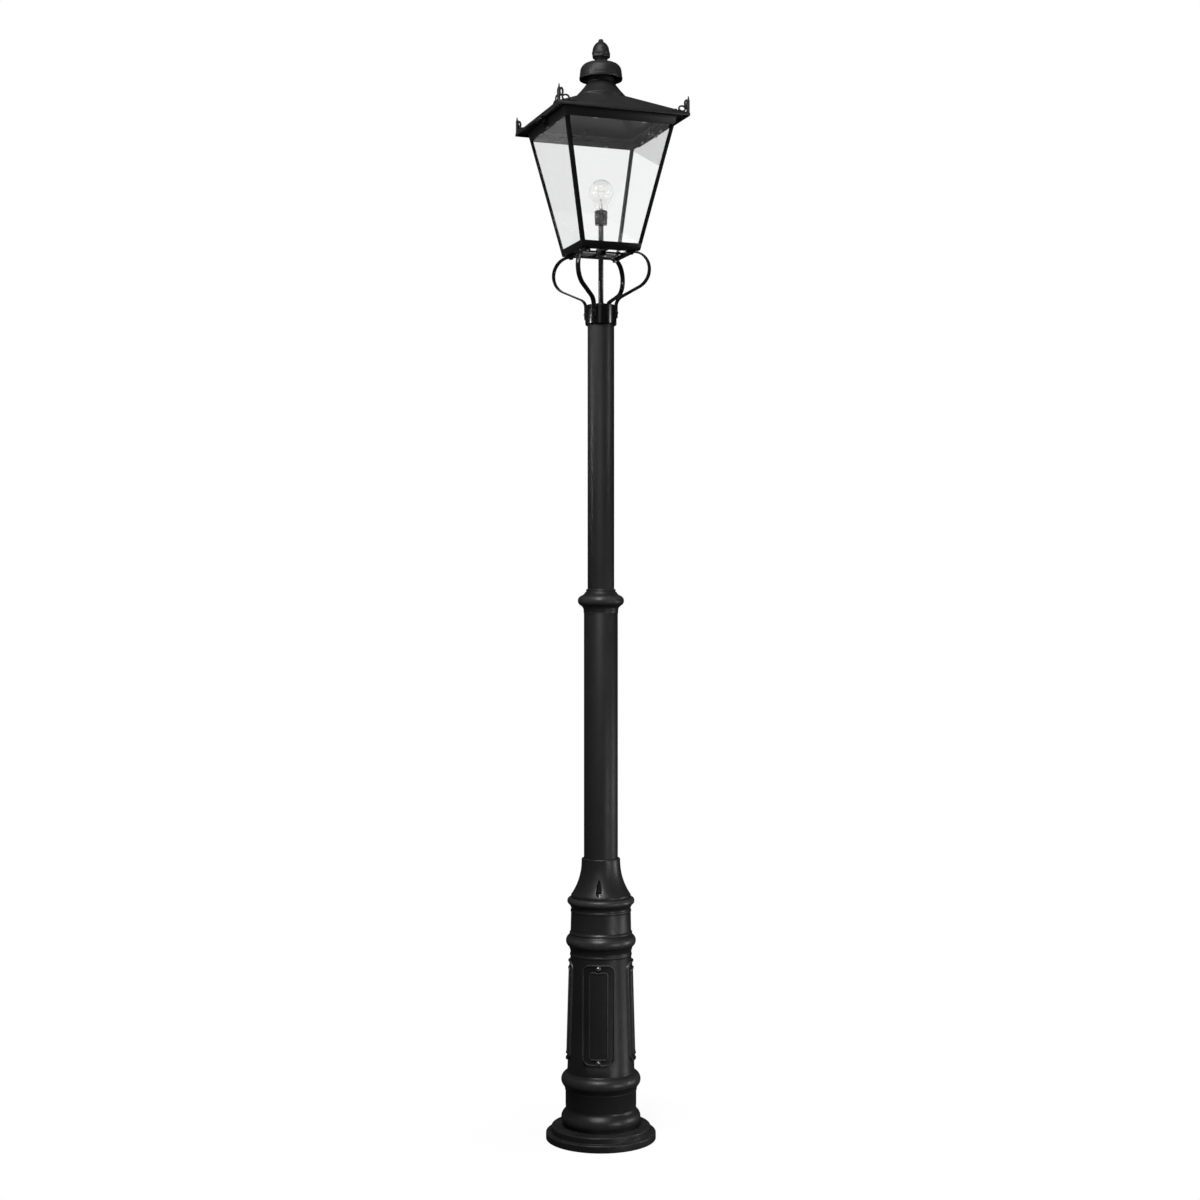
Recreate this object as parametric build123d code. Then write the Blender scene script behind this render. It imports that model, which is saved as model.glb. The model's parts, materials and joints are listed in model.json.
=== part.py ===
from build123d import *
import os
from math import cos, radians, sin, tan

# Street lamp post: a cast pedestal with a service compartment, a two-diameter steel column, and a
# four-sided glazed lantern on frog legs. Millimetres, +Z up, origin on the ground under the axis.
# The access door faces -Y. The lantern is turned about Z by LANTERN_TURN.

os.makedirs("parts", exist_ok=True)

# ---- driving dimensions -------------------------------------------------------------------------

BASE_R, BASE_STEP_R = 135.0, 122.0          # two-tier foot flange
BASE_STEP_Z, BASE_TOP = 17.5, 33.0
BASE_WEB, BASE_RECESS_R = 16.0, 76.0        # anchor web and the recess above it
DUCT_R = 45.0                               # cable entry from the ground
ANCHOR_R, ANCHOR_HOLE_R = 62.0, 7.0         # ground anchors, four on this radius
FOOT_BOLT_R, FOOT_SHANK_R = 84.0, 5.0       # screws that hold the pedestal to the flange
FOOT_HEAD_R, FOOT_HEAD_H = 8.0, 10.0

DRUM_LOW_Z, DRUM_LOW_R = 173.0, 82.4        # tapered drum of the pedestal
DRUM_TOP_Z, DRUM_TOP_R = 449.0, 75.0
DRUM_WALL = 8.0
PEDESTAL_TOP = 592.0
SPIGOT_R = 54.9                             # neck spigot inside the pedestal's top flange
SPIGOT_LOW, FLANGE_LOW = 553.0, 560.0

PANEL_WIDTH, PANEL_LOW, PANEL_HIGH, PANEL_CORNER = 80.5, 196.0, 438.0, 19.0
FIELD_WIDTH, FIELD_LOW, FIELD_HIGH, FIELD_CORNER = 47.0, 209.0, 421.0, 8.0
BEAD = 3.0                                  # width of the raised beads
DOOR_GAP, DOOR_FACE, DOOR_BEAD_FACE = 1.0, 3.3, 4.5   # heights above the drum
HATCH_WIDTH, HATCH_LOW, HATCH_HIGH, HATCH_CORNER = 62.0, 216.0, 414.0, 12.0
DOOR_SCREW_Z = (202.5, 429.5)
DOOR_SCREW_R, DOOR_SCREW_HEAD_R, DOOR_SCREW_HEAD_H = 3.0, 5.0, 2.8
DOOR_BOSS_R, DOOR_BOSS_FACE = 7.0, 5.0

GASKET = 1.5
NECK_LOW, NECK_TOP = PEDESTAL_TOP + GASKET, 688.0
NECK_BOLT_R, NECK_BOLT_FLOOR = 64.5, 600.0
NECK_POCKET_R, NECK_SHANK_R, NECK_HEAD_R, NECK_HEAD_H = 8.0, 4.0, 6.3, 8.0

LOWER_TUBE_R, LOWER_TUBE_WALL, LOWER_TUBE_TOP = 41.8, 4.0, 1330.0
UPPER_TUBE_R, UPPER_TUBE_WALL = 32.8, 3.5
UPPER_TUBE_LOW, UPPER_TUBE_TOP = 1150.0, 2040.0
TUBE_SEAT = 561.0
COLLAR_LOW, COLLAR_TOP = 1290.0, 1349.0
GRUB_R = 3.0

CLAMP_R, CLAMP_LOW, CLAMP_TOP, CLAMP_PLATE = 38.6, 1997.0, 2046.0, 5.0
LEG_WIDTH, LEG_THICK = 11.0, 4.8
LEG_FOOT_Z, LEG_LOW_BEND_R, LEG_LOOP_R = 2012.0, 24.0, 45.0
LEG_LOOP_CENTRE_R, LEG_RISE_DEG, LEG_TIP_R = 85.0, 24.0, 67.0
LEG_BOLT_R, LEG_HEX_R = 81.5, 5.5

STEM_R, STEM_WALL, STEM_LOW, STEM_TOP = 6.25, 1.2, 2030.0, 2247.0
HEX_NUT_R, HEX_NUT_H = 10.5, 6.0

LANTERN_TURN = 24.5                         # degrees about Z
FRAME_LOW, FRAME_TOP = 2174.0, 2493.0
FRAME_LOW_HALF, FRAME_TOP_HALF = 75.0, 143.5
BAND_LOW_TOP, BAND_HIGH_LOW = 2190.0, 2470.0
SHEET = 2.0
FLOOR_FLANGE, TOP_FLANGE, FLANGE_T = 21.5, 6.0, 2.5
BAR_FACE = 10.0                             # width of a corner bar on each side
GLASS_INSET, GLASS_T, GLASS_TOP = 2.3, 3.0, 2476.5

EAVE_HALF, EAVE_LOW, EAVE_TOP = 168.0, 2487.0, 2494.0
ROOF_RISE, ROOF_SHEET, ROOF_CUT_HALF = 84.0, 1.8, 45.0
SOFFIT_LOW, SOFFIT_T, SOFFIT_INNER = 2493.3, 2.0, 126.0
THROAT_R = 30.0
HINGE_X, HINGE_Z, KNUCKLE_R, HINGE_PIN_R = -147.5, 2489.3, 3.0, 1.5
HINGE_HALF, HINGE_MIDDLE_HALF = 15.0, 4.8
CATCH_Z, CATCH_R, CATCH_KNOB_R = 2480.0, 2.5, 8.0

HOLDER_R, HOLDER_LOW, HOLDER_TOP = 16.0, 2244.0, 2278.5
BULB_R, BULB_CENTRE_Z, BULB_WALL = 30.0, 2326.0, 1.0
CAP_R, CAP_LOW, CAP_TOP = 13.2, 2251.0, 2279.0

FIT = 0.08                                  # radial clearance of turning shanks and pins


# ---- helpers --------------------------------------------------------------------------------------

def turned(stations):
    """Solid of revolution through (radius, height[, bow]); bow raises an outward arc from the last one."""
    edges = []
    for start, end in zip(stations, stations[1:]):
        a, b = Vector(start[0], 0, start[1]), Vector(end[0], 0, end[1])
        if len(end) == 3:
            outward = Vector(0, 1, 0).cross((b - a).normalized())
            edges.append(ThreePointArc(a, (a + b) * 0.5 + outward * end[2], b))
        else:
            edges.append(Line(a, b))
    edges.append(Line(edges[-1] @ 1, edges[0] @ 0))
    return revolve(make_face(edges), Axis.Z)


def rod(r, low, high, x=0.0, y=0.0):
    """Upright cylinder from height low to high."""
    return Pos(x, y, low) * Cylinder(r, high - low, align=(Align.CENTER, Align.CENTER, Align.MIN))


def ring(r_out, r_in, low, high):
    """Upright tube."""
    return rod(r_out, low, high) - rod(r_in, low, high)


def radial_rod(r, inner, outer, height, angle):
    """Cylinder that points away from the axis, from radius inner to outer."""
    lying = Pos(inner, 0, height) * Rot(0, 90, 0) * rod(r, 0, outer - inner)
    return Rot(0, 0, angle) * lying


def block(x, y, z):
    """Box between the pairs x, y and z."""
    size = [high - low for low, high in (x, y, z)]
    return Pos(x[0], y[0], z[0]) * Box(*size, align=(Align.MIN, Align.MIN, Align.MIN))


def hexagon(r, low, high, x=0.0, y=0.0):
    """Upright hexagonal prism, r to its corners."""
    return Pos(x, y, low) * extrude(RegularPolygon(r, 6), high - low)


def around(piece, count, first=0.0):
    """Copies of a piece spaced evenly about Z."""
    return [Rot(0, 0, first + 360.0 * i / count) * piece for i in range(count)]


def save(name, *solids):
    """Write one sub-part; several solids stay separate in its file."""
    found = [solid for shape in solids for solid in shape.solids()]
    export_step(found[0] if len(found) == 1 else Compound(found), f"parts/{name}.step")


# ---- pedestal ---------------------------------------------------------------------------------------

def drum_radius(z):
    """Outer radius of the tapered drum at height z."""
    return DRUM_LOW_R + (z - DRUM_LOW_Z) * (DRUM_TOP_R - DRUM_LOW_R) / (DRUM_TOP_Z - DRUM_LOW_Z)


def drum_layer(inner, outer):
    """Thin layer over the drum between two heights above its surface."""
    low, high = DRUM_LOW_Z, DRUM_TOP_Z
    body = turned([(0, low), (drum_radius(low) + outer, low), (drum_radius(high) + outer, high), (0, high)])
    core = turned([(0, low), (drum_radius(low) + inner, low), (drum_radius(high) + inner, high), (0, high)])
    return body - core


def window(width, low, high, corner, inset=0.0):
    """Rounded rectangle seen from the front, run back to the axis."""
    outline = RectangleRounded(width - 2 * inset, high - low - 2 * inset, corner - inset)
    return Pos(0, 0, (low + high) / 2) * Rot(90, 0, 0) * extrude(outline, 150)


def panel_window(inset=0.0):
    """Outline of a raised panel."""
    return window(PANEL_WIDTH, PANEL_LOW, PANEL_HIGH, PANEL_CORNER, inset)


def field_window(inset=0.0):
    """Outline of the sunk field inside a panel's inner bead."""
    return window(FIELD_WIDTH, FIELD_LOW, FIELD_HIGH, FIELD_CORNER, inset)


def hatch_window(inset=0.0):
    """Outline of the service opening."""
    return window(HATCH_WIDTH, HATCH_LOW, HATCH_HIGH, HATCH_CORNER, inset)


def panel_plate(back):
    """Raised panel with an outer and an inner bead, from height back above the drum."""
    plate = drum_layer(back, DOOR_FACE) & panel_window()
    beads = drum_layer(back, DOOR_BEAD_FACE)
    outer_bead = beads & (panel_window() - panel_window(BEAD))
    inner_bead = beads & (field_window() - field_window(BEAD))
    return plate + outer_bead + inner_bead


def make_base_plate():
    """Two-tier cast flange with a recess, a duct hole, anchor holes and counterbores."""
    plate = turned([(0, 0), (BASE_R, 0), (BASE_R, BASE_STEP_Z - 2), (BASE_R - 2, BASE_STEP_Z, 0.6),
                    (BASE_STEP_R, BASE_STEP_Z), (BASE_STEP_R, BASE_TOP - 2),
                    (BASE_STEP_R - 2, BASE_TOP, 0.6), (0, BASE_TOP)])
    plate -= rod(BASE_RECESS_R, BASE_WEB, BASE_TOP)
    plate -= rod(DUCT_R, 0, BASE_WEB)
    for hole in around(rod(ANCHOR_HOLE_R, 0, BASE_WEB, ANCHOR_R), 4):
        plate -= hole
    for hole in around(rod(FOOT_SHANK_R + 0.5, 0, BASE_TOP, FOOT_BOLT_R), 4, 45):
        plate -= hole
    for sink in around(rod(FOOT_HEAD_R + 1, 0, FOOT_HEAD_H + 2, FOOT_BOLT_R), 4, 45):
        plate -= sink
    return plate


def make_foot_bolts():
    """Socket screws that come up through the flange into the pedestal's foot."""
    head = rod(FOOT_HEAD_R, 2, FOOT_HEAD_H + 2, FOOT_BOLT_R)
    socket = hexagon(4.6, 2, 7, FOOT_BOLT_R)
    shank = rod(FOOT_SHANK_R, FOOT_HEAD_H + 2, BASE_TOP + 14, FOOT_BOLT_R)
    return around(head - socket + shank, 4, 45)


def make_pedestal():
    """Cast pedestal: moulded outline, hollow, with three blind panels and the service opening."""
    outline = [(0, BASE_TOP), (90, BASE_TOP), (91, 38), (91.5, 68, 6.3), (89.5, 70.5), (87, 82, -1.5),
               (87, 118), (88.5, 121.5), (90, 128, -0.7), (91.2, 131.5), (90.5, 161, 6.9),
               (86.5, 163.5), (83, 169.5, -1.2), (DRUM_LOW_R, DRUM_LOW_Z), (DRUM_TOP_R, DRUM_TOP_Z),
               (75.2, 456, 1.2), (76.8, 466, -0.7), (78.5, 472), (78.5, 500, 7.6), (76.4, 502.5),
               (76.2, 508, 1.0), (74.5, 511), (73.5, 556), (73.6, 563, 1.2), (75.5, 571, -1.0),
               (76.8, 574.5), (77.5, PEDESTAL_TOP, 5.6), (0, PEDESTAL_TOP)]
    cavity = [(0, BASE_TOP), (79, BASE_TOP), (79, 155), (DRUM_LOW_R - DRUM_WALL, 178),
              (DRUM_TOP_R - DRUM_WALL, DRUM_TOP_Z), (65, FLANGE_LOW), (SPIGOT_R + 0.3, FLANGE_LOW),
              (SPIGOT_R + 0.3, PEDESTAL_TOP), (0, PEDESTAL_TOP)]
    body = turned(outline)
    for blind in around(panel_plate(-2), 4)[1:]:
        body += blind
    body -= turned(cavity)
    body -= hatch_window()
    for z in DOOR_SCREW_Z:
        body -= radial_rod(DOOR_SCREW_R + FIT, 50, 100, z, -90)
    for hole in around(rod(NECK_SHANK_R, PEDESTAL_TOP - 26, PEDESTAL_TOP, NECK_BOLT_R), 3, -90):
        body -= hole
    for hole in around(rod(FOOT_SHANK_R, BASE_TOP, BASE_TOP + 14, FOOT_BOLT_R), 4, 45):
        body -= hole
    return body


def make_access_door():
    """Curved service door with a locating rib behind it and two screw bosses."""
    door = panel_plate(DOOR_GAP)
    rib = drum_layer(-6, DOOR_GAP + 0.5) & (hatch_window(0.6) - hatch_window(3.6))
    door += rib
    for z in DOOR_SCREW_Z:
        r = drum_radius(z)
        door += radial_rod(DOOR_BOSS_R, r + DOOR_GAP + 1.5, r + DOOR_BOSS_FACE, z, -90)
    for z in DOOR_SCREW_Z:
        door -= radial_rod(DOOR_SCREW_R + 0.3, 60, 100, z, -90)
    return door


def make_door_seal():
    """Rubber frame on the drum round the service opening."""
    frame = window(HATCH_WIDTH + 9, HATCH_LOW - 4.5, HATCH_HIGH + 4.5, HATCH_CORNER + 4.5)
    return drum_layer(0.05, 0.7) & (frame - hatch_window())


def make_door_screw(z):
    """Tamper-proof button-head screw of the door."""
    r = drum_radius(z) + DOOR_BOSS_FACE + 0.1
    head = turned([(0, 0), (DOOR_SCREW_HEAD_R, 0), (2.6, DOOR_SCREW_HEAD_H, 0.9), (0, DOOR_SCREW_HEAD_H)])
    head -= hexagon(2.3, 1.0, DOOR_SCREW_HEAD_H) - rod(0.7, 1.0, DOOR_SCREW_HEAD_H)
    shank = rod(DOOR_SCREW_R, -17, 0.2)
    return Pos(0, -r, z) * Rot(90, 0, 0) * (head + shank)


# ---- service compartment ----------------------------------------------------------------------------

def make_backboard():
    """Board that carries the electrical gear."""
    return block((-42, 42), (36, 44), (215, 425)) - Pos(0, 48, 236) * Rot(90, 0, 0) * rod(3.2, 0, 28)


def make_board_spacers(pedestal):
    """Four stand-offs from the board to the back wall of the drum."""
    spacers = []
    for x in (-30, 30):
        for z in (232, 408):
            stand_off = Pos(x, 44, z) * Rot(-90, 0, 0) * rod(5, 0, 25)
            spacers.append(stand_off - pedestal)
    return spacers


def make_terminal_box():
    """Open-fronted box, holed for the glands."""
    box = block((-30, 30), (10, 36), (265, 385)) - block((-27.5, 27.5), (9, 33.5), (267.5, 382.5))
    return box - rod(5, 260, 390, 0, 21)


def make_terminal_lid():
    """Flat lid with the fuse carrier's window."""
    return block((-30, 30), (6, 10), (265, 385)) - block((-10, 10), (5, 11), (310, 350))


def make_fuse_carrier():
    """Pull-out fuse carrier with a flange and a grip."""
    body = block((-9.6, 9.6), (4, 26), (310.4, 349.6))
    flange = block((-12.5, 12.5), (2.5, 5.6), (306, 354))
    grip = block((-4, 4), (-8, 3), (314, 346))
    return body + flange + grip


def make_glands():
    """Cable glands under and on top of the terminal box."""
    lower = rod(9, 250, 262, 0, 21) + hexagon(11, 261.5, 265, 0, 21) - rod(5, 245, 270, 0, 21)
    upper = rod(9, 388, 404, 0, 21) + hexagon(11, 385, 388.5, 0, 21) - rod(3.5, 380, 410, 0, 21)
    return [lower, upper]


def make_earth_stud():
    """Earth stud with its nuts, through the board."""
    stud = Pos(0, 48, 236) * Rot(90, 0, 0) * rod(3, 0, 28)
    nuts = Pos(0, 36, 236) * Rot(90, 0, 0) * (hexagon(6.5, 0, 4) + hexagon(6.5, 6, 10))
    return stud + nuts


def make_lamp_cable():
    """Internal cable from the upper gland to the lampholder, all the way inside the column."""
    path = FilletPolyline((0, 21, 404), (0, 21, 440), (0, 0, 520), (0, 0, STEM_TOP + 1), radius=60)
    section = Plane(origin=path @ 0, z_dir=path % 0) * Circle(3.3)
    return sweep(section, path)


# ---- column -------------------------------------------------------------------------------------------

def make_neck():
    """Flared neck casting with its spigot and three vertical bolt pockets."""
    body = turned([(0, SPIGOT_LOW), (SPIGOT_R, SPIGOT_LOW), (SPIGOT_R, NECK_LOW), (73.2, NECK_LOW),
                   (73.4, 597), (71.5, 601, 0.6), (47.6, 676, -5.4), (47.4, 685), (46.0, NECK_TOP, 0.5),
                   (0, NECK_TOP)])
    body -= rod(LOWER_TUBE_R + 0.2, TUBE_SEAT, NECK_TOP)
    body -= rod(34, SPIGOT_LOW, TUBE_SEAT)
    for pocket in around(rod(NECK_POCKET_R, NECK_BOLT_FLOOR, NECK_TOP, NECK_BOLT_R), 3, -90):
        body -= pocket
    for hole in around(rod(NECK_SHANK_R + 0.4, NECK_LOW, NECK_BOLT_FLOOR, NECK_BOLT_R), 3, -90):
        body -= hole
    return body


def make_neck_gasket():
    """Flat gasket between the pedestal and the neck."""
    gasket = ring(72.5, SPIGOT_R + 0.5, PEDESTAL_TOP, NECK_LOW)
    for hole in around(rod(NECK_SHANK_R + 0.6, PEDESTAL_TOP, NECK_LOW, NECK_BOLT_R), 3, -90):
        gasket -= hole
    return gasket


def make_neck_bolts():
    """Cap screws standing in the neck's pockets."""
    floor = NECK_BOLT_FLOOR
    bolt = rod(NECK_HEAD_R, floor, floor + NECK_HEAD_H, NECK_BOLT_R)
    bolt -= hexagon(3.5, floor + 4, floor + NECK_HEAD_H, NECK_BOLT_R)
    bolt += rod(NECK_SHANK_R, PEDESTAL_TOP - 26, floor, NECK_BOLT_R)
    return around(bolt, 3, -90)


def make_collar():
    """Moulded reducing collar between the two tubes, drilled for two grub screws at the back."""
    body = turned([(0, COLLAR_LOW), (42.6, COLLAR_LOW), (42.8, 1298), (50, 1308.5, -1.5),
                   (49, 1332.5, 7.5), (38.5, 1341.5, -1.5), (36.2, 1343), (36.2, 1348),
                   (35.2, COLLAR_TOP), (0, COLLAR_TOP)])
    body -= rod(LOWER_TUBE_R + 0.1, COLLAR_LOW, LOWER_TUBE_TOP)
    body -= rod(UPPER_TUBE_R + 0.1, LOWER_TUBE_TOP, COLLAR_TOP)
    for angle in (45, 135):
        body -= radial_rod(GRUB_R, 41, 60, 1320, angle)
    return body


def make_grub_screws():
    """Socket grub screws of the collar and of the frog clamp."""
    screws = []
    for inner, outer, z, angles in ((41.9, 52, 1320, (45, 135)), (32.9, 38.4, 2006, (60, 120))):
        for angle in angles:
            socket = Pos(outer - 3, 0, z) * Rot(0, 90, 0) * extrude(RegularPolygon(1.7, 6), 4)
            screws.append(radial_rod(GRUB_R, inner, outer, z, angle) - Rot(0, 0, angle) * socket)
    return screws


def make_packers():
    """Two rings that centre the upper tube inside the lower one."""
    inner, outer = UPPER_TUBE_R + 0.1, LOWER_TUBE_R - LOWER_TUBE_WALL - 0.1
    return [ring(outer, inner, low, low + 20) for low in (1160, 1295)]


# ---- frog legs ------------------------------------------------------------------------------------------

def make_clamp():
    """Socket cap on the column's top; the legs are screwed to its side and the stem stands in its plate."""
    body = turned([(0, CLAMP_LOW), (36.8, CLAMP_LOW), (38.4, CLAMP_LOW + 2), (CLAMP_R, CLAMP_LOW + 6),
                   (CLAMP_R, CLAMP_TOP - 2.5), (CLAMP_R - 2.5, CLAMP_TOP, 0.7), (0, CLAMP_TOP)])
    body -= rod(UPPER_TUBE_R + 0.1, CLAMP_LOW, UPPER_TUBE_TOP + 0.5)
    body -= rod(STEM_R + 0.1, UPPER_TUBE_TOP, CLAMP_TOP)
    for i in range(4):
        body -= radial_rod(2.5, 34.5, 45, 2026, LANTERN_TURN + 45 + 90 * i)
    for angle in (60, 120):
        body -= radial_rod(GRUB_R, 32, 42, 2006, angle)
    return body


def make_leg():
    """One frog leg along +X: up the clamp, out in a low S, round a loop and in under the lantern."""
    rise = radians(LEG_RISE_DEG)
    foot_r = CLAMP_R + LEG_THICK / 2
    top_z = FRAME_LOW - LEG_THICK / 2
    loop_z = top_z - LEG_LOOP_R
    loop_in = Vector(LEG_LOOP_CENTRE_R + LEG_LOOP_R * sin(rise), 0, loop_z - LEG_LOOP_R * cos(rise))
    bend_r = foot_r + LEG_LOW_BEND_R * (1 - sin(rise))
    bend_out = Vector(bend_r, 0, loop_in.Z - (loop_in.X - bend_r) * tan(rise))
    bend_in = Vector(foot_r, 0, bend_out.Z - LEG_LOW_BEND_R * cos(rise))
    half_turn = radians((90 + LEG_RISE_DEG) / 2)
    bend_mid = Vector(foot_r + LEG_LOW_BEND_R * (1 - sin(half_turn)), 0,
                      bend_in.Z + LEG_LOW_BEND_R * cos(half_turn))
    loop_mid = Vector(LEG_LOOP_CENTRE_R + LEG_LOOP_R, 0, loop_z)
    loop_out = Vector(LEG_LOOP_CENTRE_R, 0, top_z)
    path = Wire([Edge.make_line(Vector(foot_r, 0, LEG_FOOT_Z), bend_in),
                 Edge.make_three_point_arc(bend_in, bend_mid, bend_out),
                 Edge.make_line(bend_out, loop_in),
                 Edge.make_three_point_arc(loop_in, loop_mid, loop_out),
                 Edge.make_line(loop_out, Vector(LEG_TIP_R, 0, top_z))])
    section = Plane(origin=path @ 0, x_dir=(1, 0, 0), z_dir=(0, 0, 1)) * Rectangle(LEG_THICK, LEG_WIDTH)
    leg = sweep(section, path)
    leg -= radial_rod(2.6, 38, 46, 2026, 0)
    leg -= rod(3.1, top_z - 5, FRAME_LOW + 1, LEG_BOLT_R)
    return leg


def make_leg_foot_screws():
    """Button-head screws through the legs into the clamp."""
    face = CLAMP_R + LEG_THICK
    head = turned([(0, 0), (4.5, 0), (2.2, 2.6, 0.7), (0, 2.6)])
    screw = Pos(face, 0, 2026) * Rot(0, 90, 0) * head + radial_rod(2.5, 35, face + 0.2, 2026, 0)
    return around(screw, 4, LANTERN_TURN + 45)


def make_leg_top_bolts():
    """Bolts and nuts that hold the lantern's floor flange on the legs."""
    under = FRAME_LOW - LEG_THICK
    over = FRAME_LOW + FLANGE_T
    bolt = hexagon(LEG_HEX_R, under - 3.6, under, LEG_BOLT_R) + rod(3, under, over + 8, LEG_BOLT_R)
    nut = hexagon(LEG_HEX_R, over, over + 5, LEG_BOLT_R) - rod(3, over, over + 5, LEG_BOLT_R)
    return around(bolt, 4, LANTERN_TURN + 45) + around(nut, 4, LANTERN_TURN + 45)


def make_stem_nuts():
    """Hexagon nuts above and below the clamp's plate and above the spider's boss."""
    plate_low = CLAMP_TOP - CLAMP_PLATE
    lows = (CLAMP_TOP, UPPER_TUBE_TOP + 0.5 - HEX_NUT_H, 2184.0)
    return [hexagon(HEX_NUT_R, low, low + HEX_NUT_H) - rod(STEM_R, low, low + HEX_NUT_H) for low in lows]


# ---- lantern ----------------------------------------------------------------------------------------------

def frame_half(z):
    """Half width of the lantern's outer faces at height z."""
    return FRAME_LOW_HALF + (z - FRAME_LOW) * (FRAME_TOP_HALF - FRAME_LOW_HALF) / (FRAME_TOP - FRAME_LOW)


def tapered(low, high, inset=0.0, depth=None):
    """Square block following the lantern's sloping sides, inset from them; depth fixes its size along Y."""
    sections = []
    for z in (low, high):
        width = 2 * (frame_half(z) - inset)
        sections.append((Pos(0, 0, z) * Rectangle(width, depth or width)).face())
    return loft(sections)


def on_lantern(shape):
    """Turn a piece made square to the axes to the lantern's own bearing."""
    return Rot(0, 0, LANTERN_TURN) * shape


def make_bottom_frame():
    """Sloping lower band with an inward flange, drilled over the legs."""
    band = tapered(FRAME_LOW, BAND_LOW_TOP) - tapered(FRAME_LOW, BAND_LOW_TOP, SHEET)
    inner = FRAME_LOW_HALF - FLOOR_FLANGE
    flange = tapered(FRAME_LOW, FRAME_LOW + FLANGE_T) - block((-inner, inner), (-inner, inner), (2170, 2180))
    frame = band + flange
    for hole in around(rod(3.1, FRAME_LOW - 1, FRAME_LOW + FLANGE_T + 1, LEG_BOLT_R), 4, 45):
        frame -= hole
    return on_lantern(frame)


def make_corner_bars():
    """Four angle bars up the lantern's corners."""
    shell = tapered(BAND_LOW_TOP, BAND_HIGH_LOW) - tapered(BAND_LOW_TOP, BAND_HIGH_LOW, SHEET)
    slot = tapered(BAND_LOW_TOP, BAND_HIGH_LOW, BAR_FACE, 400)
    return on_lantern(shell - slot - Rot(0, 0, 90) * slot)


def make_top_frame():
    """Sloping upper band with a narrow flange and two upright roof locators inside it."""
    band = tapered(BAND_HIGH_LOW, FRAME_TOP) - tapered(BAND_HIGH_LOW, FRAME_TOP, SHEET)
    inner = FRAME_TOP_HALF - SHEET - TOP_FLANGE
    low = FRAME_TOP - FLANGE_T
    flange = tapered(low, FRAME_TOP) - block((-inner, inner), (-inner, inner), (low, FRAME_TOP))
    frame = band + flange
    locator = block((118, 141.7), (-1.5, 1.5), (2486, 2490.5)) + block((118, 124), (-1.5, 1.5), (2486, 2505))
    for angle in (90, -90):
        frame += Rot(0, 0, angle) * locator
    frame -= radial_rod(CATCH_R + FIT, 125, 150, CATCH_Z, 0)
    return on_lantern(frame)


def make_glass():
    """Pane behind the front bars; it overlaps the bars and both bands."""
    low, high = FRAME_LOW + FLANGE_T + 0.5, GLASS_TOP
    slab = tapered(low, high, GLASS_INSET) - tapered(low, high, GLASS_INSET + GLASS_T)
    width = tapered(low, high, BAR_FACE - 4, 400)
    return slab & width & block((-200, 200), (-200, 0), (low, high))


def make_glazing_clips():
    """Small angle clips that hold each pane at its foot and head."""
    clips = []
    for z, lift in ((BAND_LOW_TOP - 9, 8), (GLASS_TOP - 6, 6)):
        behind = GLASS_INSET + GLASS_T + 0.2
        strip = tapered(z, z + lift, behind) - tapered(z, z + lift, behind + 1.5)
        reach = frame_half(z) * 0.45
        for x in (-reach, reach):
            clip = strip & block((x - 5, x + 5), (-200, 0), (z, z + lift))
            clips += around(clip, 4, LANTERN_TURN)
    return clips


def make_spider():
    """Flat cross with a boss that steadies the stem at the lantern's floor."""
    low = FRAME_LOW + FLANGE_T
    arm = block((-62, 62), (-6, 6), (low, low + 3))
    cross = arm + Rot(0, 0, 90) * arm + rod(13, 2170, 2184)
    return on_lantern(cross - rod(STEM_R + 0.1, 2160, 2190))


# ---- roof -------------------------------------------------------------------------------------------------

def pyramid(half, base):
    """Truncated pyramid with the roof's slope, from half width and height of its foot."""
    rise = ROOF_RISE * (half - ROOF_CUT_HALF) / EAVE_HALF
    foot = Pos(0, 0, base) * Rectangle(2 * half, 2 * half)
    head = Pos(0, 0, base + rise) * Rectangle(2 * ROOF_CUT_HALF, 2 * ROOF_CUT_HALF)
    return loft([foot.face(), head.face()])


def make_roof_shell():
    """Low sheet pyramid with a folded rim, open to the throat."""
    inner = EAVE_HALF - ROOF_SHEET
    rim = block((-EAVE_HALF, EAVE_HALF), (-EAVE_HALF, EAVE_HALF), (EAVE_LOW, EAVE_TOP))
    hollow = block((-inner, inner), (-inner, inner), (EAVE_LOW, EAVE_TOP - ROOF_SHEET))
    body = rim + pyramid(EAVE_HALF, EAVE_TOP) - hollow - pyramid(inner, EAVE_TOP - ROOF_SHEET)
    return body - rod(THROAT_R, EAVE_TOP, 2600)


def make_soffit():
    """Flat frame under the eaves that the roof stands on, with the slotted catch tongue."""
    size = EAVE_HALF - ROOF_SHEET
    top = SOFFIT_LOW + SOFFIT_T
    plate = block((-size, size), (-size, size), (SOFFIT_LOW, top)) & pyramid(size, EAVE_TOP - ROOF_SHEET)
    plate -= block((-SOFFIT_INNER, SOFFIT_INNER), (-SOFFIT_INNER, SOFFIT_INNER), (SOFFIT_LOW, top))
    tongue = block((127.5, 130), (-7, 7), (2472, top))
    tongue -= block((120, 135), (-3.2, 3.2), (2470, CATCH_Z))
    tongue -= radial_rod(3.2, 120, 135, CATCH_Z, 0)
    return plate + tongue


def make_skirt():
    """Round throat piece: a cone standing on the pyramid and a short neck up into the cowl."""
    outer = turned([(0, 2535), (61, 2535), (61, 2558), (60, 2560.5, 0.4), (35.5, 2590, -0.8),
                    (33, 2594, -0.6), (33, 2614), (0, 2614)])
    inner = turned([(0, 2535), (59.2, 2535), (59.2, 2558.5), (33.6, 2589.5, -0.8), (31.2, 2594), (31.2, 2614),
                    (0, 2614)])
    return outer - inner - pyramid(EAVE_HALF, EAVE_TOP)


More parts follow.
